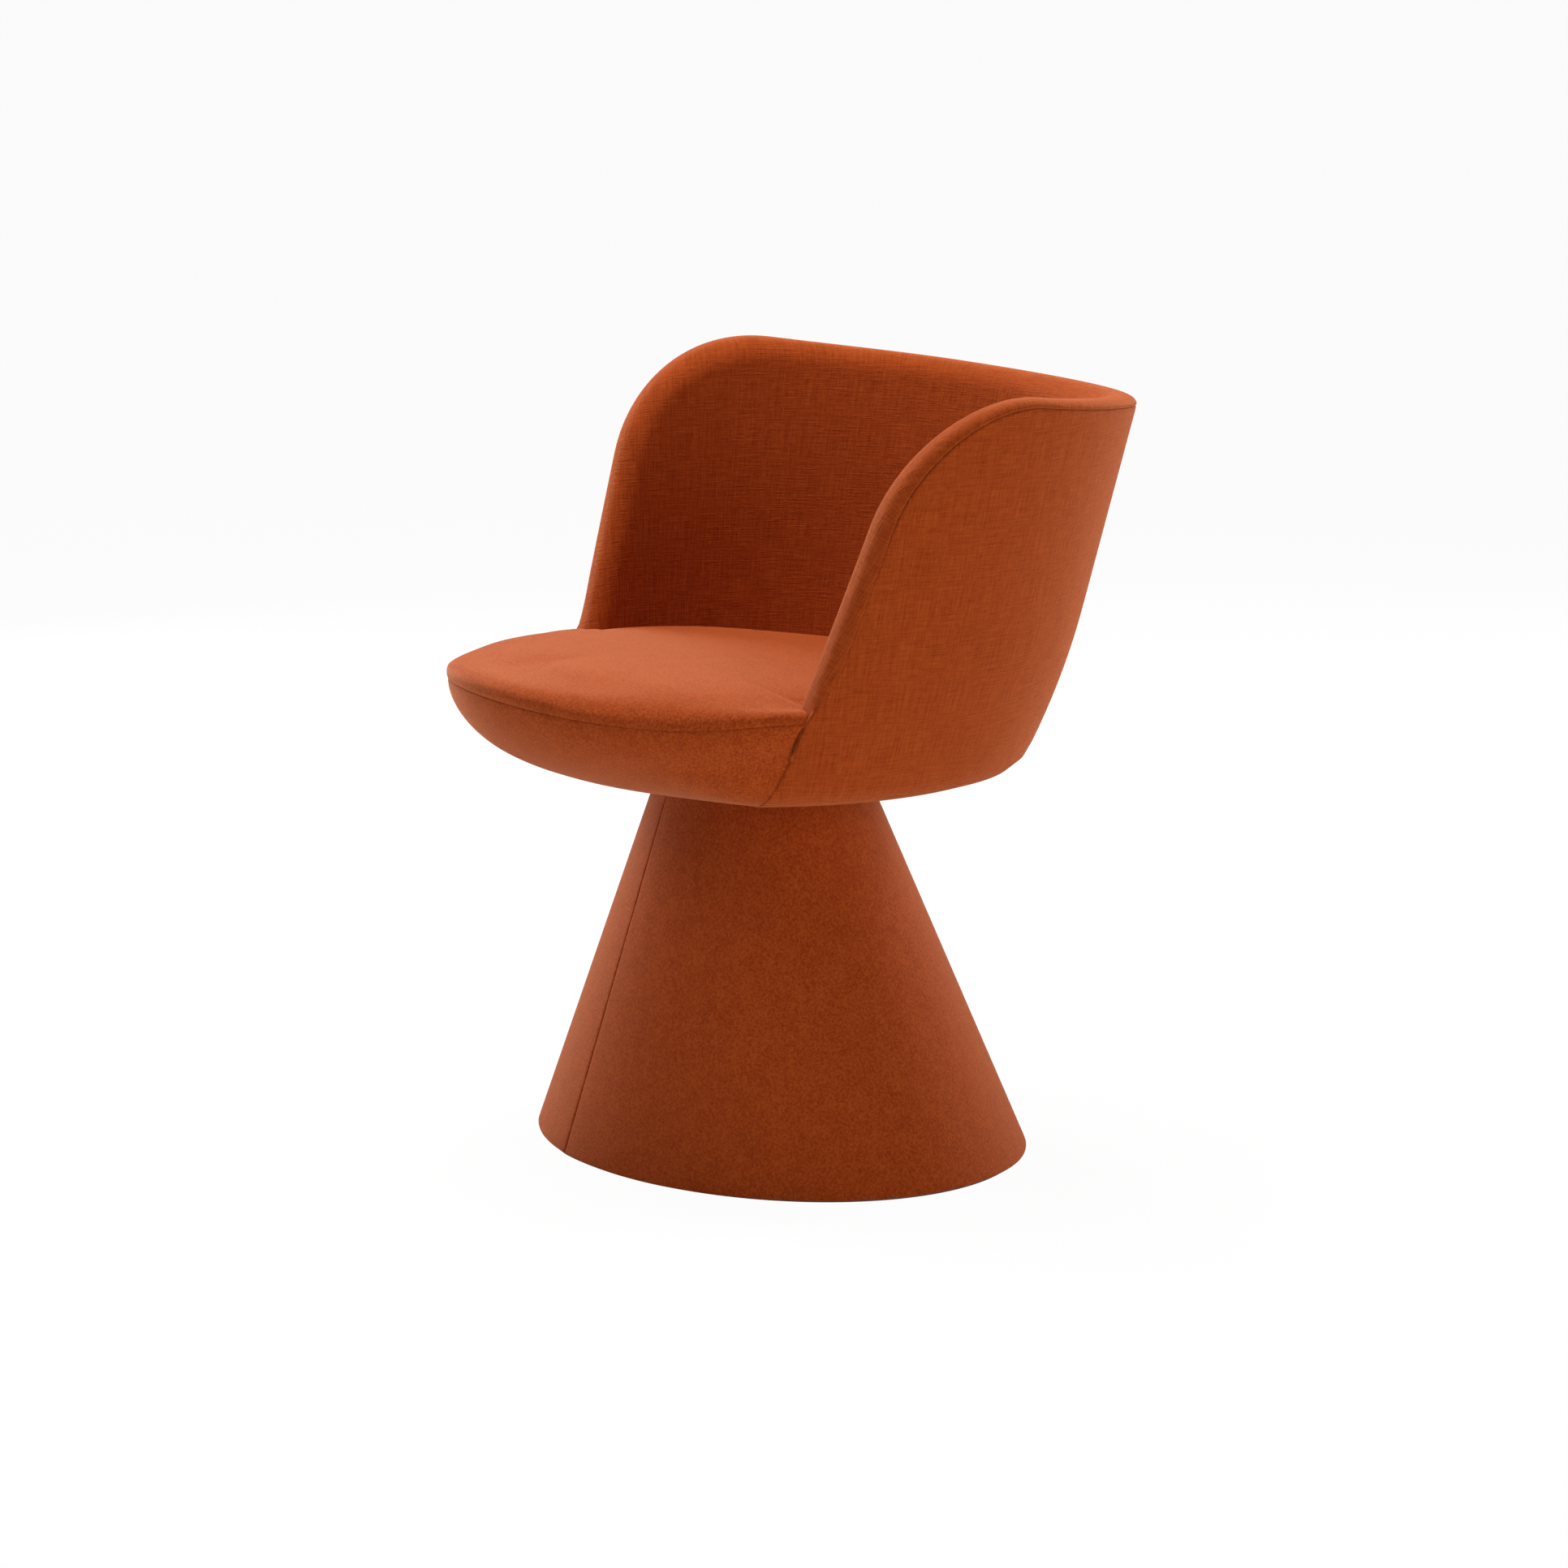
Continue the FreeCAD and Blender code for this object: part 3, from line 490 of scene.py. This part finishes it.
def seam_lift(turns):
    """The seat seam rises in the middle of the front and at the arms, and sags between them."""
    away = np.abs(turns)
    wave = SEAM_SAG * np.cos(math.pi * np.minimum(away, SAG_TURN) / SAG_TURN)
    return wave + ARM_SEAM_RISE * smooth_step(away, SAG_TURN, ARM_TURN)


def dish_points(turns, sweep, depths):
    """A row of the rounded underside: sweep 0 is the seam and a right angle is the flat."""
    radius = DISH_FLAT + (DISH_RADIUS - DISH_FLAT - depths) * math.cos(sweep)
    levels = SEAM - (SEAM - UNDERSIDE - depths) * math.sin(sweep)
    levels = levels + seam_lift(turns) * (1 - smooth_step(sweep, 0.0, SAG_SWEEP))
    return np.stack([radius * np.sin(turns), TUB_AXIS - radius * np.cos(turns), levels], -1)


def dish_row(sweep, depth):
    """A row of the dish, tucked in behind the back's low edge and drawn down to the back's belly."""
    radius = DISH_FLAT + (DISH_RADIUS - DISH_FLAT) * math.cos(sweep)
    level = SEAM - (SEAM - UNDERSIDE) * math.sin(sweep)
    front = -ARM_SETBACK + math.tan(ARM_LEAN_ALL) * (level - SEAM)

    def turn_to(behind):
        return math.acos(min((TUB_AXIS - front - behind) / radius, 1))

    tucked = [turn_to(behind) for behind, share in TUCK]
    shares = [share for behind, share in TUCK]
    free = turn_to(TUCK_FREE)
    turns = np.concatenate([[-turn for turn in tucked], even(DISH_COLUMNS, -free, free), tucked[::-1]])
    sunk = np.concatenate([shares, np.zeros(DISH_COLUMNS), shares[::-1]])
    tuck = TUCK_DEPTH * float(smooth_step(sweep, *TUCK_BEGINS) * (1 - smooth_step(sweep, *TUCK_ENDS)))
    full = DISH_FULLNESS * math.sin(2 * sweep) * math.sin(sweep)
    row = dish_points(turns, sweep, depth + tuck * sunk - full)
    upright = row[:, 1] - RECLINE * (row[:, 2] - SEAM)
    belly_length = outside.length_at_radius(np.hypot(row[:, 0], upright - TUB_AXIS))
    belly = outside.level(belly_length) + BELLY_GAP
    near_arms = 1 - smooth_step(front - row[:, 1], 0.0, BELLY_REACH)
    row[:, 2] += (belly - row[:, 2]) * near_arms * smooth_step(sweep, *BELLY_SWEEPS)
    return row


def make_dish():
    """The underside in front of the arms, rolled in at the seat seam."""
    rows = [dish_row(distance / (SEAM - UNDERSIDE), DISH_SEAM_DEPTH * share) for distance, share in ROLL]
    rows += [dish_row(sweep, 0.0) for sweep in even(DISH_ROWS, *DISH_SWEEPS)]
    return new_piece("dish", np.array(rows))


PAD_WALL_RADIUS = wall_radius(SEAM + PAD_REAR, WALL) + PAD_PRESS


def pad_turns():
    """Even directions from the pad's middle, with its four corners at the arms' fronts among them."""
    corners = []
    for radius in (DISH_RADIUS, PAD_WALL_RADIUS):
        across = math.sqrt(radius ** 2 - (PAD_ARM_FRONT - TUB_AXIS) ** 2)
        turn = math.atan2(across, PAD_MIDDLE - PAD_ARM_FRONT)
        corners += [turn, 2 * math.pi - turn]
    return np.sort(np.concatenate([even(PAD_SPOKES + 1, 0, 2 * math.pi), corners]))


def pad_reach(turn):
    """How far the pad goes from its middle in one direction: to the seam, an arm's front or a wall."""
    back = -math.cos(turn)
    offset = PAD_MIDDLE - TUB_AXIS
    along = offset * back

    def to_circle(radius):
        return -along + math.sqrt(along * along - offset * offset + radius * radius)

    reach = to_circle(DISH_RADIUS)
    if PAD_MIDDLE + reach * back > PAD_ARM_FRONT:
        to_arm = (PAD_ARM_FRONT - PAD_MIDDLE) / back
        reach = min(reach, max(to_arm, to_circle(PAD_WALL_RADIUS)))
    return reach


def pad_height(x, y):
    """The pad's height over the seam: a crown with a rounded front edge, eased down at the walls."""
    from_axis = np.hypot(x, y - TUB_AXIS)
    turns = np.arctan2(x, TUB_AXIS - y)
    edge_share = np.clip((DISH_RADIUS - from_axis) / PAD_EDGE_DEPTH, 0, 1)
    rounding = (1 - (1 - edge_share) ** PAD_EDGE_FULLNESS) ** (1 / PAD_EDGE_FULLNESS)
    side_drop = PAD_SIDE_DROP * smooth_step(np.abs(turns), *PAD_SIDE_TURNS)
    edge = PAD_EDGE_HEIGHT * rounding - side_drop * (rounding - edge_share)
    crown = PAD_PEAK - (x ** 2 + (y + PAD_PEAK_FORWARD) ** 2) / (2 * PAD_DOME)
    crown = np.maximum(crown, PAD_REAR)
    between_arms = smooth_step(y, -ARM_SETBACK, -ARM_SETBACK + PAD_ARM_BLEND)
    from_wall = wall_radius(SEAM, WALL) - from_axis
    dip = PAD_DIP * between_arms * (1 - smooth_step(from_wall, 0.0, PAD_DIP_WIDTH))
    close = np.clip(0.5 + (edge - crown) / (2 * PAD_BLEND), 0, 1)
    height = edge + (crown - edge) * close - PAD_BLEND * close * (1 - close) - dip
    return height + seam_lift(turns) * (1 - edge_share) ** PAD_SAG_FADE


def hold_sewn_edge(pad):
    """A group of the pad's points that its seam holds down."""
    held = pad.vertex_groups.new(name="sewn")
    for vertex in pad.data.vertices:
        x, y, z = vertex.co
        edge = DISH_RADIUS - math.hypot(x, y - TUB_AXIS)
        lift = float(seam_lift(math.atan2(x, TUB_AXIS - y))) if edge < HELD_SAG_WIDTH else 0
        if z < SEAM + lift + HELD_HEIGHT or edge < HELD_WIDTH:
            held.add([vertex.index], 1.0, "REPLACE")
    return held.name


def make_pad():
    """The crowned seat pad, sewn down along its seam and swollen by its filling."""
    turns = pad_turns()
    reaches = np.array([pad_reach(turn) for turn in turns])
    spread = np.stack([np.sin(turns), -np.cos(turns)], 1)
    middle = np.array([0, PAD_MIDDLE])
    rows = []
    for share in 1 - (1 - even(PAD_RINGS)) ** PAD_CROWDING:
        flat = spread * (reaches * share)[:, None] + middle
        height = pad_height(flat[:, 0], flat[:, 1])
        rise = np.clip(height / PAD_EDGE_HEIGHT, 0, 1)
        before_arms = 1 - smooth_step(flat[:, 1], -ARM_SETBACK - PAD_ARM_BLEND, -ARM_SETBACK)
        bulge = PAD_BULGE * 4 * rise * (1 - rise) * before_arms * smooth_step(share, *PAD_BULGE_SHARES)
        rows.append(np.column_stack([flat + spread * bulge[:, None], SEAM + height]))
    seam_height = pad_height(spread[:, 0] * reaches, spread[:, 1] * reaches + PAD_MIDDLE)
    for inward, drop in PAD_SEWN:
        flat = spread * (reaches - inward)[:, None] + middle
        rows.append(np.column_stack([flat, SEAM + seam_height - drop]))
    rows.append(np.tile([0, PAD_MIDDLE, SEAM - PAD_UNDER], (len(turns), 1)))
    pad = new_piece("seat_pad", np.stack(rows), thickness=0)
    swell(pad, hold_sewn_edge(pad))
    smooth = pad.modifiers.new("fine_mesh", "SUBSURF")
    smooth.levels = smooth.render_levels = 1
    return pad


def apply_modifiers(piece):
    """Replace a piece's mesh by what its modifiers make of it."""
    shown = piece.evaluated_get(bpy.context.evaluated_depsgraph_get())
    mesh = bpy.data.meshes.new_from_object(shown)
    old = piece.data
    piece.modifiers.clear()
    piece.data = mesh
    bpy.data.meshes.remove(old)


def swell(piece, held):
    """Let the filling press the cloth out, smoothly and no farther than a cap, where it isn't held."""
    nearly_nothing = 1e-9
    still = 1e-7
    before = np.empty(len(piece.data.vertices) * 3)
    piece.data.vertices.foreach_get("co", before)
    cloth = piece.modifiers.new("cloth", "CLOTH")
    cloth.settings.use_pressure = True
    cloth.settings.uniform_pressure_force = PAD_PRESSURE
    cloth.settings.vertex_group_mass = held
    cloth.settings.effector_weights.gravity = 0
    for frame_number in range(1, SWELL_FRAMES + 1):
        bpy.context.scene.frame_set(frame_number)
    apply_modifiers(piece)
    after = np.empty(len(before))
    piece.data.vertices.foreach_get("co", after)
    move = (after - before).reshape(-1, 3)
    size = np.linalg.norm(move, axis=1, keepdims=True)
    move *= np.minimum(1, PAD_SWELL / np.maximum(size, nearly_nothing))
    edges = np.empty(len(piece.data.edges) * 2, dtype=int)
    piece.data.edges.foreach_get("vertices", edges)
    first, second = edges.reshape(-1, 2).T
    neighbours = np.bincount(edges, minlength=len(move))[:, None]
    for _ in range(SWELL_SMOOTHINGS):
        total = np.zeros_like(move)
        np.add.at(total, first, move[second])
        np.add.at(total, second, move[first])
        move = np.where(size > still, 0.5 * move + 0.5 * total / np.maximum(neighbours, 1), move)
    piece.data.vertices.foreach_set("co", (before.reshape(-1, 3) + move).ravel())
    piece.data.update()
    bpy.context.scene.frame_set(1)


# The pedestal

def base_points(side, share, level, depth):
    """Points of one half of the pedestal: share runs from the front seam to the rear seam."""
    rise = level / BASE_TOP
    scale = 1 + rise * (BASE_TOP_SCALE - 1)
    reach = BASE_HALF_WIDTH + BASE_CREASE
    half_depth = BASE_HALF_DEPTH / math.sqrt(1 - (BASE_CREASE / reach) ** 2)
    swing = math.acos(BASE_CREASE / reach)
    angle = -swing + 2 * swing * share
    centre = BASE_SET_BACK + rise * (BASE_TOP_SET_BACK - BASE_SET_BACK)
    beside_seam = np.minimum(share, 1 - share) / BASE_FULL_SHARE
    full = BASE_FULLNESS * scale * np.sin(math.pi * np.clip(beside_seam, 0, 1)) - depth
    x = (reach * scale + full) * np.cos(angle) - BASE_CREASE * scale
    y = centre + (half_depth * scale + full) * np.sin(angle)
    return np.stack([side * x, y, np.full_like(x, level)], -1)


def make_base_cover(name, side):
    """One half of the pedestal's cloth, rolled in at the seams, the hem and the top."""
    girth = math.pi * (BASE_HALF_WIDTH + BASE_HALF_DEPTH) / 2
    seam_shares = [distance / girth for distance, share in ROLL]
    seam_depths = [BASE_SEAM_DEPTH * share for distance, share in ROLL]
    face_shares = even(BASE_COLUMNS, BASE_SEAM_MARGIN, 1 - BASE_SEAM_MARGIN)
    shares = np.concatenate([seam_shares, face_shares, [1 - share for share in seam_shares[::-1]]])
    depths = np.concatenate([seam_depths, np.zeros(BASE_COLUMNS), seam_depths[::-1]])
    levels = [(HEM + rise, sunk) for rise, sunk in HEM_ROLL]
    levels += [(level, 0.0) for level in even(BASE_ROWS, *BASE_LEVELS)]
    levels += [(BASE_TOP - drop, sunk) for drop, sunk in TOP_ROLL]
    rows = [base_points(side, shares, level, depths + sunk) for level, sunk in levels]
    return new_piece(name, np.stack(rows))


# Materials

# Colours of the two cloths where their relief is low and where it is high, and of their sheen. The darker
# low places are partly the yarns' own uneven tone and partly painted shade in the cloths' hollows.
LINEN_DARK, LINEN_LIGHT = (0.235, 0.0280, 0.0018), (0.374, 0.0600, 0.0080)
FELT_DARK, FELT_LIGHT = (0.240, 0.0290, 0.0018), (0.370, 0.0600, 0.0080)
LINEN_SHEEN, FELT_SHEEN = (1.0, 0.42, 0.16), (1.0, 0.53, 0.26)

# Weft, warp, slubs across and slubs up: noise per metre round the back and up it, and its detail
LINEN_THREADS = ((110, 900, 2.0), (900, 100, 2.0), (30, 620, 1.0), (600, 22, 1.0))

# Fibres and mottling of the felt: noise per metre, its detail and roughness, and its share
FELT_GRAIN = ((430.0, 4.0, 0.75, 0.88), (60.0, 2.0, 0.5, 0.12))

# Hard materials by slot: colour, roughness, and grain per metre or metal where it differs
HARD_LOOKS = {
    "moulded_shell": dict(colour=(0.12, 0.12, 0.12), roughness=0.6),
    "plywood": dict(colour=(0.62, 0.46, 0.29), roughness=0.7, grain=90.0),
    "bent_board": dict(colour=(0.55, 0.40, 0.25), roughness=0.7, grain=120.0),
    "black_steel": dict(colour=(0.03, 0.03, 0.03), roughness=0.45, grain=500.0),
    "bright_steel": dict(colour=(0.60, 0.60, 0.60), roughness=0.3, metallic=1.0, grain=700.0),
    "bearing_plastic": dict(colour=(0.85, 0.84, 0.80), roughness=0.5),
    "rim_plastic": dict(colour=(0.02, 0.018, 0.016), roughness=0.6),
    "glide_felt": dict(colour=(0.05, 0.05, 0.05), roughness=0.95, grain=800.0),
}
HARD_DARKER, HARD_LIGHTER = 0.82, 1.12
HARD_GLOSS_SPREAD = 0.16


class Look:
    """A new material with its principled shader, and short ways to add and link nodes."""

    def __init__(self, name):
        self.material = bpy.data.materials.new(name)
        self.material.use_nodes = True
        self.tree = self.material.node_tree
        self.principled = self.tree.nodes["Principled BSDF"]

    def add(self, kind, inputs=None, **settings):
        """A new node with its settings, and each input linked to a socket or set to a value."""
        node = self.tree.nodes.new(kind)
        for key, value in settings.items():
            setattr(node, key, value)
        for key, value in (inputs or {}).items():
            if isinstance(value, bpy.types.NodeSocket):
                self.tree.links.new(value, node.inputs[key])
            else:
                node.inputs[key].default_value = value
        return node

    def maths(self, operation, first, second):
        return self.add("ShaderNodeMath", {0: first, 1: second}, operation=operation).outputs[0]

    def noise(self, place, scale, detail, roughness=0.5):
        inputs = {"Vector": place, "Scale": scale, "Detail": detail, "Roughness": roughness}
        return self.add("ShaderNodeTexNoise", inputs).outputs["Fac"]

    def object_place(self):
        return self.add("ShaderNodeTexCoord").outputs["Object"]

    def link(self, socket, name):
        self.tree.links.new(socket, self.principled.inputs[name])

    def set_inputs(self, **values):
        """Set inputs of the principled shader, named with underscores for spaces."""
        for name, value in values.items():
            self.principled.inputs[name.replace("_", " ")].default_value = value

    def tint(self, value, low, high, low_colour, high_colour):
        """Colour the surface by a value, from one colour at low to another at high."""
        node = self.add("ShaderNodeValToRGB", {"Fac": value})
        stops = zip(node.color_ramp.elements, (low, high), (low_colour, high_colour))
        for element, position, colour in stops:
            element.position = position
            element.color = (*colour, 1)
        self.link(node.outputs["Color"], "Base Color")

    def emboss(self, height, strength, distance):
        bump = self.add("ShaderNodeBump", {"Strength": strength, "Distance": distance, "Height": height})
        self.link(bump.outputs["Normal"], "Normal")

    def cloth_finish(self, sheen):
        """The soft sheen of a cloth's loose fibres."""
        self.set_inputs(Roughness=0.95, Specular_IOR_Level=0.08)
        self.set_inputs(Sheen_Weight=0.27, Sheen_Roughness=0.5, Sheen_Tint=(*sheen, 1))


def linen(name):
    """Slubby linen: threads both ways that swell and thin along their length."""
    look = Look(name)
    place = look.add("ShaderNodeAttribute", attribute_name="cloth").outputs["Vector"]
    split = look.add("ShaderNodeSeparateXYZ", {0: place}).outputs
    height = 0.0
    for around, up, detail in LINEN_THREADS:
        stretched = look.add("ShaderNodeCombineXYZ", {0: look.maths("MULTIPLY", split["X"], around),
                                                      1: look.maths("MULTIPLY", split["Y"], up)})
        threads = look.noise(stretched.outputs[0], scale=1.0, detail=detail, roughness=0.6)
        height = look.maths("ADD", threads, height)
    mean = look.maths("MULTIPLY", height, 1 / len(LINEN_THREADS))
    # The colour follows the relief's height: darker in the low places, partly the threads' own uneven tone
    # and partly painted shade in the weave's hollows.
    look.tint(mean, low=0.40, high=0.60, low_colour=LINEN_DARK, high_colour=LINEN_LIGHT)
    look.emboss(height, strength=0.55, distance=0.0012)
    look.cloth_finish(LINEN_SHEEN)
    return look.material


def felt(name):
    """Felted cloth: short fibres with a faint mottling."""
    look = Look(name)
    place = look.object_place()
    height = 0.0
    for scale, detail, roughness, share in FELT_GRAIN:
        grain = look.maths("MULTIPLY", look.noise(place, scale, detail, roughness), share)
        height = look.maths("ADD", grain, height)
    # The colour follows the relief's height: darker in the low places, partly the felt's own mottled tone
    # and partly painted shade between its fibres.
    look.tint(height, low=0.42, high=0.58, low_colour=FELT_DARK, high_colour=FELT_LIGHT)
    look.emboss(height, strength=0.45, distance=0.0009)
    look.cloth_finish(FELT_SHEEN)
    return look.material


def plain(name, colour, roughness, metallic=0.0, grain=300.0):
    """A hard material with a fine surface grain in its colour, gloss and relief."""
    look = Look(name)
    speckle = look.noise(look.object_place(), grain, detail=3.0)
    dark, light = [tuple(channel * share for channel in colour) for share in (HARD_DARKER, HARD_LIGHTER)]
    look.tint(speckle, low=0.35, high=0.65, low_colour=dark, high_colour=light)
    spread = look.maths("MULTIPLY", speckle, HARD_GLOSS_SPREAD)
    look.link(look.maths("ADD", spread, roughness - HARD_GLOSS_SPREAD / 2), "Roughness")
    look.emboss(speckle, strength=0.3, distance=0.0002)
    look.set_inputs(Metallic=metallic)
    return look.material


def wear(piece, material):
    piece.data.materials.clear()
    piece.data.materials.append(material)


# Putting the pieces in place

back_linen = linen("back_linen")
seat_felt = felt("seat_felt")
base_felt = felt("base_felt")

outer_cover, inner_cover = make_outer_cover(), make_inner_cover()
dish, pad = make_dish(), make_pad()
base_left, base_right = make_base_cover("base_cover_left", 1), make_base_cover("base_cover_right", -1)

SOFT_PIECES = ((outer_cover, back_linen, "seat", "rust_linen", ("back_outer_cover",)),
               (inner_cover, back_linen, "seat", "rust_linen", ("back_inner_cover", "back_foam")),
               (dish, seat_felt, "seat", "rust_felt", ("dish_cover", "dish_foam")),
               (pad, seat_felt, "seat", "rust_felt", ("seat_cover", "seat_foam")),
               (base_left, base_felt, "pedestal", "rust_felt", ("left_base_cover",)),
               (base_right, base_felt, "pedestal", "rust_felt", ("right_base_cover",)))
for piece, material, body, slot, stands_for in SOFT_PIECES:
    wear(piece, material)
    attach(piece, body)
    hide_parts(*stands_for)

hard_materials = {slot: plain(slot, **look) for slot, look in HARD_LOOKS.items()}
for entry in frame["record"]["subparts"]:
    if entry["material_slot"] in hard_materials:
        wear(nodes[entry["node"]], hard_materials[entry["material_slot"]])


# Camera, light and floor

# The photo's view: turns from the front and rises are in degrees, and the target has a pixel of the photo
PHOTO_WIDTH = 1932
VIEW_TURN, VIEW_RISE = 66.26, 9.92
VIEW_DISTANCE = 5.506
VIEW_TARGET = Vector((0, 0.008, 0.370))
TARGET_ACROSS, TARGET_DOWN = 956.9, 932.1
PIXELS_PER_METRE = 1287
SENSOR = 36

# Lamps: name, turn from the front, rise, distance, size and power
LAMPS = (("top", -80, 80, 2.6, 1.2, 73),
         ("front", -14, 38, 3.0, 1.0, 22),
         ("left", -80, 17, 3.2, 1.4, 88),
         ("right", 200, 20, 3.4, 1.8, 92),
         ("fill", 106, 8, 4.0, 2.2, 68))
WORLD_LIGHT = 0.05
WHITE = (1, 1, 1, 1)
FLOOR_GREY = (0.9, 0.9, 0.9, 1)
FLOOR_GLOW_SHARE = 0.96
FLOOR_REACH = 30.0
FLOOR_LEVEL = -0.0005


def aim(name, data, turn, rise, distance):
    """A camera or lamp at a turn from the front and a rise, aimed at the view's target."""
    turn, rise = math.radians(turn), math.radians(rise)
    away = Vector((math.sin(turn) * math.cos(rise), -math.cos(turn) * math.cos(rise), math.sin(rise)))
    aimed = bpy.data.objects.new(name, data)
    aimed.location = VIEW_TARGET + away * distance
    aimed.rotation_euler = away.to_track_quat("Z", "Y").to_euler()
    bpy.context.scene.collection.objects.link(aimed)
    return aimed


def make_camera():
    """The photo's view, with its target at the photo's pixel."""
    data = bpy.data.cameras.new("camera")
    data.sensor_width = SENSOR
    data.lens = PIXELS_PER_METRE * VIEW_DISTANCE / PHOTO_WIDTH * SENSOR
    data.shift_x = 0.5 - TARGET_ACROSS / PHOTO_WIDTH
    data.shift_y = TARGET_DOWN / PHOTO_WIDTH - 0.5
    data.dof.use_dof = False
    bpy.context.scene.camera = aim("camera", data, VIEW_TURN, VIEW_RISE, VIEW_DISTANCE)


def make_lamp(name, turn, rise, distance, size, power):
    """A soft square lamp."""
    data = bpy.data.lights.new(name, "AREA")
    data.shape = "SQUARE"
    data.size = size
    data.energy = power
    aim(name, data, turn, rise, distance)


def white_rays(tree):
    """1 for the rays that should find a white background: from the camera, a mirror or a glass."""
    path = tree.nodes.new("ShaderNodeLightPath").outputs
    seen = path["Is Camera Ray"]
    for kind in ("Is Glossy Ray", "Is Transmission Ray"):
        either = tree.nodes.new("ShaderNodeMath")
        either.operation = "MAXIMUM"
        tree.links.new(seen, either.inputs[0])
        tree.links.new(path[kind], either.inputs[1])
        seen = either.outputs[0]
    return seen


def make_world():
    """A world that looks white and lights the chair only faintly."""
    world = bpy.data.worlds.new("studio")
    bpy.context.scene.world = world
    world.use_nodes = True
    tree = world.node_tree
    strength = tree.nodes.new("ShaderNodeMapRange")
    strength.inputs["To Min"].default_value = WORLD_LIGHT
    strength.inputs["To Max"].default_value = 1.0
    tree.links.new(white_rays(tree), strength.inputs["Value"])
    background = tree.nodes["Background"]
    background.inputs["Color"].default_value = WHITE
    tree.links.new(strength.outputs[0], background.inputs["Strength"])


def make_floor():
    """A floor that looks white and keeps a faint shadow of the chair."""
    look = Look("floor_white")
    look.set_inputs(Base_Color=FLOOR_GREY, Roughness=0.9, Specular_IOR_Level=0.0)
    glow = look.add("ShaderNodeEmission", {"Color": WHITE, "Strength": 1.0})
    share = look.maths("MULTIPLY", white_rays(look.tree), FLOOR_GLOW_SHARE)
    mix = look.add("ShaderNodeMixShader", {0: share, 1: look.principled.outputs[0], 2: glow.outputs[0]})
    look.tree.links.new(mix.outputs[0], look.tree.nodes["Material Output"].inputs["Surface"])
    corners = [(FLOOR_REACH * x, FLOOR_REACH * y, 0) for x, y in ((-1, -1), (1, -1), (1, 1), (-1, 1))]
    mesh = bpy.data.meshes.new("floor")
    mesh.from_pydata(corners, [], [(0, 1, 2, 3)])
    floor = bpy.data.objects.new("floor", mesh)
    floor.location.z = FLOOR_LEVEL
    bpy.context.scene.collection.objects.link(floor)
    wear(floor, look.material)


make_camera()
make_world()
make_floor()
for lamp in LAMPS:
    make_lamp(*lamp)
bpy.context.scene.view_settings.view_transform = "Standard"
